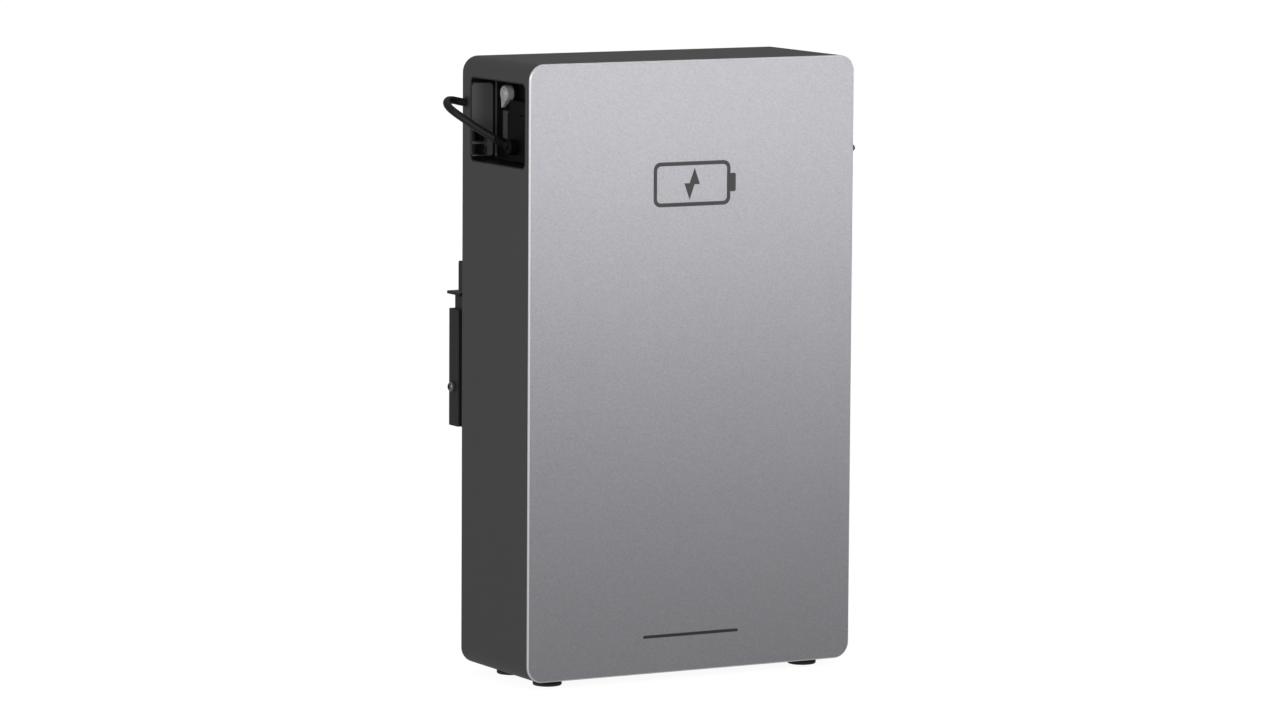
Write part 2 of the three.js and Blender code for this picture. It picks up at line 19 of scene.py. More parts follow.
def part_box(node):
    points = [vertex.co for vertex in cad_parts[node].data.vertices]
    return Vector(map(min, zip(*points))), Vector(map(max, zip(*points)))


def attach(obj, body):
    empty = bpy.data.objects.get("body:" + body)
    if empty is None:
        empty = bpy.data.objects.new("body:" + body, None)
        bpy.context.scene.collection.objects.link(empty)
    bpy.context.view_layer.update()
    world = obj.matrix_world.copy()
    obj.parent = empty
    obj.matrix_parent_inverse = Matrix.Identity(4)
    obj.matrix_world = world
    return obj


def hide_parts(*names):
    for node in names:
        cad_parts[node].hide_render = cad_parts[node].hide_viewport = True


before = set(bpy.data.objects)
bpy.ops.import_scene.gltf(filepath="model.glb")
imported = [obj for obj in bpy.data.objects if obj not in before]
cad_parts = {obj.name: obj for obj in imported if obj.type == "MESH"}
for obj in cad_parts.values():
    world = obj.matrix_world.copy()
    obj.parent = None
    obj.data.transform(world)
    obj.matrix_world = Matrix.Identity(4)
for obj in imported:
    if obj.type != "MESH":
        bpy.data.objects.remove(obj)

LOG = logging.getLogger("battery")
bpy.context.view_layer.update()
MM = 0.001

Test = Callable[[bmesh.types.BMEdge], bool]
Station = tuple[float, float]


class Axis(Enum):
    """A direction of the frame, with its place in a vector."""

    X = 0
    Y = 1
    Z = 2


class Side(Enum):
    """The unit's left and right, with the sign of their x."""

    LEFT = -1
    RIGHT = 1

    @property
    def word(self) -> str:
        """The side's name in lower case."""
        return self.name.lower()


class Body(Enum):
    """The rigid bodies of the frame."""

    CASE = "case"
    SWITCH = "isolator_switch"
    BUTTON = "start_push"


class Slot(Enum):
    """Names of material slots, one carried by each finish."""

    POWDER_COAT = "powder_coat"
    SILVER_PANEL = "silver_panel"
    BLACK_PLASTIC = "black_plastic"
    GREY_PLASTIC = "grey_plastic"
    RUBBER = "rubber"
    BLACK_STEEL = "black_steel"
    ZINC = "zinc"
    BRIGHT_METAL = "bright_metal"
    CELL_SKIN = "cell_skin"
    COPPER = "copper"
    CIRCUIT_BOARD = "circuit_board"
    LENS = "lens"


# ------------------------------------------------------------------ places in the frame

CASE_LO, CASE_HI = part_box("rear_case")
PANEL_LO, PANEL_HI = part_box("front_panel")
SIDE_X = CASE_HI.x
FRONT_Y = PANEL_LO.y
BACK_Y = CASE_HI.y
BASE_Z = CASE_LO.z
TOP_Z = CASE_HI.z
CORNER = 17 * MM
SHEET = 2 * MM


def at(side: Side, inset: float, back: float, up: float) -> Vector:
    """A point given in millimetres from the case's own faces.

    Args:
        side: The side that the point belongs to.
        inset: How far in from that side, negative outside the case.
        back: How far back from the panel's face.
        up: How far above the case's bottom.

    Returns:
        The point in the frame, in metres.
    """
    return Vector((side.value * (SIDE_X - inset * MM), FRONT_Y + back * MM, BASE_Z + up * MM))


def outward(side: Side) -> Vector:
    """The direction out of that side of the case."""
    return Vector((side.value, 0, 0))


# ------------------------------------------------------------------ the bench: modelling operations


def choose(piece: bpy.types.Object) -> None:
    """Leaves edit mode and makes one piece the only selected and active object.

    Args:
        piece: The piece to choose.
    """
    if bpy.context.object and bpy.context.object.mode != "OBJECT":
        bpy.ops.object.mode_set(mode="OBJECT")
    bpy.ops.object.select_all(action="DESELECT")
    piece.select_set(True)
    bpy.context.view_layer.objects.active = piece


def clear_bench() -> None:
    """Deselects everything, so that an operator acts on nothing but what comes next."""
    if bpy.context.object and bpy.context.object.mode != "OBJECT":
        bpy.ops.object.mode_set(mode="OBJECT")
    bpy.ops.object.select_all(action="DESELECT")


def settle(piece: bpy.types.Object, name: str) -> bpy.types.Object:
    """Names a piece and moves its place into its mesh.

    Args:
        piece: The piece to settle.
        name: Its name from now on.

    Returns:
        The same piece, with its object at the origin.
    """
    choose(piece)
    piece.name = piece.data.name = name
    bpy.ops.object.transform_apply(location=True, rotation=True, scale=True)
    return piece


def block(name: str, low: Sequence[float], high: Sequence[float]) -> bpy.types.Object:
    """A cuboid between two corners, the start of a pressed, moulded or carved piece.

    Args:
        name: The piece's name.
        low: One corner.
        high: The corner across from it.

    Returns:
        The piece.
    """
    low, high = Vector(map(min, low, high)), Vector(map(max, low, high))
    clear_bench()
    bpy.ops.mesh.primitive_cube_add(size=1, location=(low + high) / 2)
    bpy.context.object.scale = high - low
    return settle(bpy.context.object, name)


def runs_along(axis: Axis) -> Test:
    """A test for edges that are parallel to an axis.

    Args:
        axis: The axis.

    Returns:
        The test.
    """

    def test(edge: bmesh.types.BMEdge) -> bool:
        """Whether an edge is parallel to the axis."""
        run = edge.verts[1].co - edge.verts[0].co
        return abs(run[axis.value]) > 0.99 * run.length

    return test


def lies_at(axis: Axis, place: float, sharp_only: bool = True) -> Test:
    """A test for edges that lie in the plane at a place on an axis.

    Args:
        axis: The axis across the plane.
        place: Where the plane crosses it.
        sharp_only: Whether only edges between faces that turn by over 30 degrees count.

    Returns:
        The test.
    """

    def test(edge: bmesh.types.BMEdge) -> bool:
        """Whether an edge lies in the plane."""
        level = all(abs(v.co[axis.value] - place) < 1e-5 for v in edge.verts)
        return level and (not sharp_only or edge.calc_face_angle(0) > math.radians(30))

    return test


def round_edges(piece: bpy.types.Object, test: Test, radius: float, segments: int = 4) -> bpy.types.Object:
    """Rounds the edges that pass a test.

    Args:
        piece: The piece to work on.
        test: Says which edges are rounded.
        radius: The radius of the round.
        segments: How many flats it is made of.

    Returns:
        The same piece.
    """
    choose(piece)
    bpy.ops.object.mode_set(mode="EDIT")
    bpy.ops.mesh.select_mode(type="EDGE")
    bpy.ops.mesh.select_all(action="DESELECT")
    mesh = bmesh.from_edit_mesh(piece.data)
    for edge in mesh.edges:
        if test(edge):
            edge.select_set(True)
    bmesh.update_edit_mesh(piece.data)
    bpy.ops.mesh.bevel(offset=radius, segments=segments, affect="EDGES", loop_slide=False)
    bpy.ops.object.mode_set(mode="OBJECT")
    return piece


def rounded_block(
    name: str, low: Sequence[float], high: Sequence[float], axis: Axis, radius: float, segments: int = 8
) -> bpy.types.Object:
    """A cuboid whose four edges along an axis are rounded."""
    return round_edges(block(name, low, high), runs_along(axis), radius, segments)


def turned(name: str, stations: Sequence[Station], segments: int = 48) -> bpy.types.Object:
    """A piece turned on the Z axis, raised ring by ring from a disc.

    Args:
        name: The piece's name.
        stations: Pairs of radius and height in millimetres, from the bottom disc to the top one.
        segments: How many flats go round it.

    Returns:
        The piece, standing on the origin.
    """
    rings = [(radius * MM, height * MM) for radius, height in stations]
    radius, height = rings[0]
    clear_bench()
    bpy.ops.mesh.primitive_circle_add(
        vertices=segments, radius=radius, fill_type="NGON", location=(0, 0, height)
    )
    piece = settle(bpy.context.object, name)
    bpy.ops.object.mode_set(mode="EDIT")
    bpy.ops.mesh.select_all(action="SELECT")
    for (was, low), (radius, high) in pairwise(rings):
        bpy.ops.mesh.extrude_region_move(TRANSFORM_OT_translate={"value": (0, 0, high - low)})
        scale = radius / was
        bpy.ops.transform.resize(value=(scale, scale, 1), center_override=(0, 0, high))
    bpy.ops.mesh.select_all(action="SELECT")
    bpy.ops.mesh.normals_make_consistent(inside=False)
    bpy.ops.object.mode_set(mode="OBJECT")
    return piece


def copy_of(piece: bpy.types.Object, name: str) -> bpy.types.Object:
    """Copies a piece, with its own mesh.

    Args:
        piece: The piece to copy.
        name: The copy's name.

    Returns:
        The copy.
    """
    made = piece.copy()
    made.data = piece.data.copy()
    made.name = made.data.name = name
    bpy.context.scene.collection.objects.link(made)
    return made


def aim(piece: bpy.types.Object, direction: Vector, place: Sequence[float]) -> bpy.types.Object:
    """Turns a piece from +Z to a direction, and moves its foot to a place.

    Args:
        piece: The piece, standing on the origin.
        direction: Where its +Z points from now on.
        place: Where its foot stands.

    Returns:
        The same piece.
    """
    turn = Vector((0, 0, 1)).rotation_difference(direction).to_matrix().to_4x4()
    piece.matrix_world = Matrix.Translation(place) @ turn
    return settle(piece, piece.name)


def combine(operation: str, piece: bpy.types.Object, tools: Sequence[bpy.types.Object]) -> bpy.types.Object:
    """Joins tools to a piece or cuts them from it, and removes them.

    Args:
        operation: "UNION" or "DIFFERENCE".
        piece: The piece that stays.
        tools: The pieces that are used up.

    Returns:
        The same piece.
    """
    for tool in tools:
        choose(piece)
        modifier = piece.modifiers.new("combine", "BOOLEAN")
        modifier.operation = operation
        modifier.solver = "EXACT"
        modifier.object = tool
        bpy.ops.object.modifier_apply(modifier=modifier.name)
        bpy.data.objects.remove(tool)
    return piece


def cut(piece: bpy.types.Object, *tools: bpy.types.Object) -> bpy.types.Object:
    """Cuts the tools out of a piece."""
    return combine("DIFFERENCE", piece, tools)


def weld(piece: bpy.types.Object, *tools: bpy.types.Object) -> bpy.types.Object:
    """Joins the tools to a piece as one body."""
    return combine("UNION", piece, tools)


def soften(piece: bpy.types.Object, width: float, segments: int = 3, angle: float = 40) -> bpy.types.Object:
    """Breaks every edge that is sharper than an angle, as moulding, tumbling or paint leaves it.

    Args:
        piece: The piece to work on.
        width: How wide the broken edge is.
        segments: How many flats it is made of.
        angle: The angle in degrees above which an edge is broken.

    Returns:
        The same piece.
    """
    choose(piece)
    modifier = piece.modifiers.new("soften", "BEVEL")
    modifier.width = width
    modifier.segments = segments
    modifier.limit_method = "ANGLE"
    modifier.angle_limit = math.radians(angle)
    bpy.ops.object.modifier_apply(modifier=modifier.name)
    return piece


# ------------------------------------------------------------------ finishes


def linear(hex_colour: str) -> tuple[float, float, float, float]:
    """Turns an sRGB hex colour into a linear one.

    Args:
        hex_colour: The colour, such as "#464646".

    Returns:
        Red, green and blue in linear light, with full alpha.
    """
    values = [int(hex_colour[i : i + 2], 16) / 255 for i in (1, 3, 5)]
    red, green, blue = (v / 12.92 if v <= 0.04045 else ((v + 0.055) / 1.055) ** 2.4 for v in values)
    return red, green, blue, 1.0


def add_node(
    tree: bpy.types.NodeTree, kind: str, inputs: dict[str, object] | None = None, **settings: object
) -> bpy.types.Node:
    """Adds a node with its settings, and fills its inputs.

    Args:
        tree: The tree to add to.
        kind: The node's type.
        inputs: Each input's value, or the socket that is linked to it.
        settings: The node's own settings by name.

    Returns:
        The node.
    """
    made = tree.nodes.new(kind)
    for name, value in settings.items():
        setattr(made, name, value)
    for name, value in (inputs or {}).items():
        if isinstance(value, bpy.types.NodeSocket):
            tree.links.new(value, made.inputs[name])
        else:
            made.inputs[name].default_value = value
    return made


@dataclass(frozen=True)
class Finish:
    """A surface: two close colours in soft patches, a gloss that varies, and a fine relief."""

    name: str
    slot: Slot
    colour: str
    shade: str
    roughness: float
    grain: float
    relief: float
    metallic: float = 0.0
    ior: float = 1.5
    patch: float = 40 * MM
    gloss_range: float = 0.06
    stretch: tuple[float, float, float] = (1.0, 1.0, 1.0)

    def tint(self, tree: bpy.types.NodeTree, place: bpy.types.NodeSocket) -> bpy.types.NodeSocket:
        """The base colour's socket.

        Args:
            tree: The material's tree.
            place: The place that the pattern reads.

        Returns:
            The two colours in patches.
        """
        cloud = {"Vector": place, "Scale": 1 / self.patch, "Detail": 4.0}
        patches = add_node(tree, "ShaderNodeTexNoise", cloud)
        colours = {"Fac": patches.outputs["Fac"], "Color1": linear(self.colour), "Color2": linear(self.shade)}
        return add_node(tree, "ShaderNodeMixRGB", colours).outputs["Color"]

    def material(self) -> bpy.types.Material:
        """The finish as a material, which is made only once.

        Returns:
            The material.
        """
        if self.name in bpy.data.materials:
            return bpy.data.materials[self.name]
        made = bpy.data.materials.new(self.name)
        made.use_nodes = True
        tree = made.node_tree
        shader = tree.nodes["Principled BSDF"]
        here = add_node(tree, "ShaderNodeTexCoord").outputs["Object"]
        mapping = add_node(tree, "ShaderNodeMapping", {"Vector": here, "Scale": self.stretch})
        place = mapping.outputs["Vector"]
        speckle = {"Vector": place, "Scale": 1 / self.grain, "Detail": 3.0}
        grain = add_node(tree, "ShaderNodeTexNoise", speckle)
        height = grain.outputs["Fac"]
        spread = {"To Min": self.roughness - self.gloss_range, "To Max": self.roughness + self.gloss_range}
        gloss = add_node(tree, "ShaderNodeMapRange", {"Value": height, **spread})
        relief = add_node(tree, "ShaderNodeBump", {"Height": height, "Distance": self.relief})
        tree.links.new(self.tint(tree, place), shader.inputs["Base Color"])
        tree.links.new(gloss.outputs["Result"], shader.inputs["Roughness"])
        tree.links.new(relief.outputs["Normal"], shader.inputs["Normal"])
        shader.inputs["Metallic"].default_value = self.metallic
        shader.inputs["IOR"].default_value = self.ior
        return made


@dataclass(frozen=True)
class FlakeFinish(Finish):
    """A metal-flake lacquer: each flake lies at its own tilt, so it is a little lighter or darker."""

    flake: float = 1.0 * MM
    sparkle: float = 0.09

    def tint(self, tree: bpy.types.NodeTree, place: bpy.types.NodeSocket) -> bpy.types.NodeSocket:
        """The patched colour, with every flake's own lightness laid over it.

        Args:
            tree: The material's tree.
            place: The place that the pattern reads.

        Returns:
            The lacquer's colour.
        """
        ground = super().tint(tree, place)
        flakes = add_node(tree, "ShaderNodeTexVoronoi", {"Vector": place, "Scale": 1 / self.flake})
        spread = {"To Min": 1 - self.sparkle, "To Max": 1 + self.sparkle}
        tone = add_node(tree, "ShaderNodeSeparateColor", {"Color": flakes.outputs["Color"]})
        light = add_node(tree, "ShaderNodeMapRange", {"Value": tone.outputs["Red"], **spread})
        inputs = {"Fac": 1.0, "Color1": ground, "Color2": light.outputs["Result"]}
        return add_node(tree, "ShaderNodeMixRGB", inputs, blend_type="MULTIPLY").outputs["Color"]


@dataclass(frozen=True)
class BoardFinish(Finish):
    """A printed circuit board: solder mask over rows of copper tracks."""

    track: float = 4 * MM
    copper: str = "#3f8a5a"

    def tint(self, tree: bpy.types.NodeTree, place: bpy.types.NodeSocket) -> bpy.types.NodeSocket:
        """The mask's colour, lighter where a track lies under it.

        Args:
            tree: The material's tree.
            place: The place that the pattern reads.

        Returns:
            The board's colour.
        """
        turn = (math.radians(90), 0.0, 0.0)
        upright = add_node(tree, "ShaderNodeMapping", {"Vector": place, "Rotation": turn})
        inputs = {
            "Vector": upright.outputs["Vector"],
            "Color1": linear(self.colour),
            "Color2": linear(self.shade),
            "Mortar": linear(self.copper),
            "Scale": 1.0,
            "Mortar Size": self.track / 12,
            "Brick Width": self.track * 3,
            "Row Height": self.track,
        }
        return add_node(tree, "ShaderNodeTexBrick", inputs).outputs["Color"]


# Polyester powder coat on folded steel: a dull dark grey with a tight orange-peel texture.
POWDER_COAT = Finish(
    "powder_coated_steel", Slot.POWDER_COAT, "#3b3b3c", "#38383a", 0.6, grain=1.4 * MM, relief=0.05 * MM,
    ior=1.38,
)
# Metal-flake lacquer on a pressed aluminium panel: satin silver with a fine sparkle. The real flakes
# are far under a millimetre, and are drawn at 1 mm so that they show.
SILVER_LACQUER = FlakeFinish(
    "silver_flake_lacquer", Slot.SILVER_PANEL, "#8a8a8e", "#87878b", 0.5, grain=1.2 * MM, relief=0.012 * MM,
    metallic=0.75, patch=90 * MM, gloss_range=0.04,
)
# Polycarbonate blend, the bay's liner, painted near black for the shade that fills the bay: smoother than the
# case, so its rim shows a thin light.
BAY_LINER = Finish(
    "bay_liner_painted_shade", Slot.GREY_PLASTIC, "#0c0c0c", "#0f0f0f", 0.36, grain=0.8 * MM, relief=0.02 * MM,
    ior=1.36, patch=18 * MM,
)
# The panel's silver, painted lighter on its chamfered edge for the highlight that the edge catches: a bright,
# even edge.
EDGE_HIGHLIGHT_SILVER = Finish(
    "panel_edge_painted_highlight", Slot.SILVER_PANEL, "#c0c0c3", "#babbbd", 0.42, grain=0.5 * MM, relief=0.004 * MM,
    metallic=0.4, patch=20 * MM, gloss_range=0.03,
)
# A paler grey plate on the bay's rear wall behind the data sockets: a painted pool of light, where light
# through the mouth falls on the wall.
PAINTED_LIGHT_PLATE = Finish(
    "rear_wall_painted_light", Slot.GREY_PLASTIC, "#565657", "#535354", 0.5, grain=0.8 * MM, relief=0.02 * MM,
    ior=1.5, patch=18 * MM,
)
# Glass-filled nylon, spark-eroded mould texture: near black, with a soft broad highlight.
BLACK_NYLON = Finish(
    "moulded_black_nylon", Slot.BLACK_PLASTIC, "#060606", "#090909", 0.62, grain=0.9 * MM, relief=0.03 * MM,
    ior=1.2, patch=12 * MM,
)
# ABS in dark grey, a little lighter and smoother than the nylon.
GREY_ABS = Finish(
    "moulded_grey_abs", Slot.GREY_PLASTIC, "#2d2d2d", "#303030", 0.5, grain=0.9 * MM, relief=0.02 * MM,
    ior=1.54, patch=15 * MM,
)
# Moulded EPDM rubber: matte black with a faint grey bloom in patches.
EPDM_RUBBER = Finish(
    "moulded_epdm_rubber", Slot.RUBBER, "#191919", "#222221", 0.72, grain=0.7 * MM, relief=0.04 * MM,
    ior=1.52, patch=8 * MM,
)
# Extruded silicone sheath of a limp, fine-stranded link lead: satin black with fine drag marks.
LEAD_SHEATH = Finish(
    "extruded_silicone_sheath", Slot.RUBBER, "#0d0d0d", "#121211", 0.5, grain=0.8 * MM, relief=0.012 * MM,
    ior=1.3, patch=10 * MM,
)
# Black electrophoretic paint on folded steel: thin and even, slightly brown where it is thinnest.
BLACK_STEEL = Finish(
    "black_painted_steel", Slot.BLACK_STEEL, "#202020", "#232322", 0.55, grain=1.1 * MM, relief=0.03 * MM,
    ior=1.27, patch=25 * MM,
)
# Bright zinc plate on steel: a grey metal with a soft crystalline mottle.
ZINC_PLATE = Finish(
    "zinc_plated_steel", Slot.ZINC, "#a9acb0", "#8f9297", 0.34, grain=0.6 * MM, relief=0.008 * MM,
    metallic=1.0, patch=3 * MM,
)
# The same plate under a dark passivate, as on the bracket's socket bolts.
DARK_BOLT = Finish(
    "dark_passivated_bolt", Slot.ZINC, "#78787a", "#5c5c5e", 0.34, grain=0.6 * MM, relief=0.01 * MM,
    metallic=0.8, patch=3 * MM,
)
# Bead-blasted aluminium: pale and even, each bead's dimple just breaking the highlight.
BLASTED_ALUMINIUM = Finish(
    "bead_blasted_aluminium", Slot.BRIGHT_METAL, "#b0b0b1", "#a9a9aa", 0.42, grain=0.5 * MM, relief=0.02 * MM,
    metallic=0.35, patch=6 * MM,
)
# Blue polymer film shrunk over an aluminium can.
CELL_FILM = Finish(
    "blue_cell_film", Slot.CELL_SKIN, "#2a5d8c", "#244f79", 0.35, grain=2 * MM, relief=0.02 * MM,
    patch=30 * MM,
)
# Rolled copper, lightly tarnished.
ROLLED_COPPER = Finish(
    "rolled_copper", Slot.COPPER, "#b87333", "#8d5a2c", 0.32, grain=0.5 * MM, relief=0.005 * MM, metallic=1.0,
    patch=15 * MM, stretch=(0.1, 1.0, 1.0),
)
# Glass-epoxy board under green solder mask.
SOLDER_MASK = BoardFinish(
    "green_solder_mask", Slot.CIRCUIT_BOARD, "#1d5a34", "#1a5230", 0.4, grain=0.8 * MM, relief=0.01 * MM,
)
# Clear polycarbonate tinted green, with a diffusing back.
STATUS_LENS = Finish(
    "tinted_polycarbonate", Slot.LENS, "#9fd6b0", "#94cda6", 0.15, grain=1 * MM, relief=0.002 * MM, ior=1.58,
    patch=4 * MM, gloss_range=0.02,
)
# Silk-screened ink on the panel: flat charcoal.
PANEL_INK = Finish(
    "silk_screen_ink", Slot.BLACK_PLASTIC, "#131314", "#171718", 0.6, grain=0.6 * MM, relief=0.004 * MM,
    patch=10 * MM,
)


# ------------------------------------------------------------------ finishing a piece


def shade(piece: bpy.types.Object, angle: float = 35) -> None:
    """Shades a piece smooth, with its edges over an angle kept crisp and its flat faces kept flat.

    Args:
        piece: The piece to shade.
        angle: The angle in degrees over which an edge stays crisp.
    """
    choose(piece)
    bpy.ops.object.shade_smooth_by_angle(angle=math.radians(angle))
    modifier = piece.modifiers.new("flat_faces", "WEIGHTED_NORMAL")
    modifier.keep_sharp = True
    modifier.weight = 100
    bpy.ops.object.modifier_apply(modifier=modifier.name)


def dress(
    piece: bpy.types.Object, finish: Finish, *replaced: str, body: Body = Body.CASE
) -> bpy.types.Object:
    """Finishes a piece and hangs it on the frame.

    Args:
        piece: The piece, modelled in its place.
        finish: Its surface.
        replaced: The frame's nodes that it stands for.
        body: The rigid body that it moves with.

    Returns:
        The same piece.
    """
    if piece.type == "MESH":
        shade(piece)
    piece.data.materials.clear()
    piece.data.materials.append(finish.material())
    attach(piece, body.value)
    if replaced:
        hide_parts(*replaced)
    LOG.info("%s: %s on %s", piece.name, finish.name, body.value)
    return piece


def dress_node(name: str, finish: Finish) -> None:
    """Gives one of the frame's own nodes its finish.

    Args:
        name: The node's name.
        finish: Its surface.
    """
    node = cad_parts[name]
    node.data.materials.clear()
    node.data.materials.append(finish.material())
    LOG.info("%s: %s", name, finish.name)


def bore_tool(
    name: str, radius: float, low: float, high: float, direction: Vector, place: Vector
) -> bpy.types.Object:
    """A plain round tool for cutting a bore, its sizes in millimetres, along a direction from a place."""
    return aim(turned(name, [(radius, low), (radius, high)]), direction, place)


# ------------------------------------------------------------------ camera, stage and light


@dataclass
class Studio:
    """The camera at its viewing angle, a pale floor, and soft lights."""

    azimuth: float = -28.79
    elevation: float = 6.67
    roll: float = 0.35
    distance: float = 6.42
    lens: float = 173.9
    slide: tuple[float, float] = (-0.0179, -0.0008)
    ambient: float = 0.42
    ceiling: float = 0.35
    table_glow: float = 0.94
    table_spill: float = 0.5

    def camera(self) -> None:
        """Aims the camera at the case's middle, a little to one side of it."""
        turn, lift = math.radians(self.azimuth), math.radians(self.elevation)
        ahead = Vector((-math.sin(turn) * math.cos(lift), math.cos(turn) * math.cos(lift), -math.sin(lift)))
        right = ahead.cross(Vector((0, 0, 1))).normalized()
        up = right.cross(ahead)
        tilt = Matrix.Rotation(-math.radians(self.roll), 3, ahead)
        right, up = tilt @ right, tilt @ up
        middle = Vector((0, (FRONT_Y + BACK_Y) / 2, (BASE_Z + TOP_Z) / 2))
        target = middle + right * self.slide[0] + up * self.slide[1]
        data = bpy.data.cameras.new("camera")
        data.lens, data.sensor_width = self.lens, 36
        data.clip_end = 60
        camera = bpy.data.objects.new("camera", data)
        bpy.context.scene.collection.objects.link(camera)
        camera.matrix_world = Matrix.Translation(target - ahead * self.distance) @ Matrix(
            (right, up, -ahead)
        ).transposed().to_4x4()
        bpy.context.scene.camera = camera

    def floor(self) -> None:
        """A pale floor that runs on past the view, and looks lit through from below like a light table."""
        clear_bench()
        bpy.ops.mesh.primitive_plane_add(size=40, location=(0, 0, -0.5 * MM))
        floor = settle(bpy.context.object, "studio_floor")
        made = bpy.data.materials.new("pale_floor")
        made.use_nodes = True
        tree = made.node_tree
        shader = tree.nodes["Principled BSDF"]
        seen = add_node(tree, "ShaderNodeLightPath").outputs["Is Camera Ray"]
        spread = {"Value": seen, "To Min": self.table_spill, "To Max": self.table_glow}
        glow = add_node(tree, "ShaderNodeMapRange", spread)
        tree.links.new(glow.outputs["Result"], shader.inputs["Emission Strength"])
        shader.inputs["Base Color"].default_value = linear("#606060")
        shader.inputs["Roughness"].default_value = 0.9
        shader.inputs["Specular IOR Level"].default_value = 0.1
        shader.inputs["Emission Color"].default_value = linear("#ffffff")
        floor.data.materials.append(made)

    def lamp(
        self, name: str, place: Sequence[float], aim_at: Sequence[float], size: Sequence[float], power: float
    ) -> bpy.types.AreaLight:
        """A soft box.

        Args:
            name: The lamp's name.
            place: Where its middle is.
            aim_at: The point that it faces.
            size: Its width and height.
            power: Its power in watts.

        Returns:
            The lamp's settings.
        """
        data = bpy.data.lights.new(name, "AREA")
        data.shape, data.size, data.size_y, data.energy = "RECTANGLE", *size, power
        lamp = bpy.data.objects.new(name, data)
        lamp.location = place
        lamp.rotation_euler = (Vector(aim_at) - Vector(place)).to_track_quat("-Z", "Y").to_euler()
        lamp.visible_camera = False
        bpy.context.scene.collection.objects.link(lamp)
        return data

    def sun(self) -> None:
        """A wide soft light from straight above, which whitens the floor as far as it goes."""
        data = bpy.data.lights.new("ceiling", "SUN")
        data.energy, data.angle = self.ceiling, math.radians(70)
        bpy.context.scene.collection.objects.link(bpy.data.objects.new("ceiling", data))

    def room(self) -> None:
        """An even room light, with a white backdrop where the camera looks past the floor."""
        world = bpy.data.worlds.new("studio_room")
        world.use_nodes = True
        tree = world.node_tree
        room = tree.nodes["Background"]
        room.inputs["Color"].default_value = (1, 1, 1, 1)
        seen = add_node(tree, "ShaderNodeLightPath").outputs["Is Camera Ray"]
        spread = {"Value": seen, "To Min": self.ambient, "To Max": 1.0}
        strength = add_node(tree, "ShaderNodeMapRange", spread)
        tree.links.new(strength.outputs["Result"], room.inputs["Strength"])
        bpy.context.scene.world = world
        bpy.context.scene.view_settings.view_transform = "Standard"

    def light(self) -> None:
        """The room, the ceiling, and two soft boxes that model the panel and the side."""
        self.room()
        self.sun()
        panel_box = self.lamp("panel_box", (0.3, -1.6, 0.64), (0.3, FRONT_Y, 0.64), (1.4, 0.1), 4.6)
        panel_box.spread = math.radians(62)
        self.lamp("side_box", (-2.4, -1.6, 1.2), (-SIDE_X, 0, 0.5), (0.25, 1.0), 30)

    def build(self) -> None:
        """Sets up the whole studio."""
        self.camera()
        self.floor()
        self.light()


# ------------------------------------------------------------------ link leads


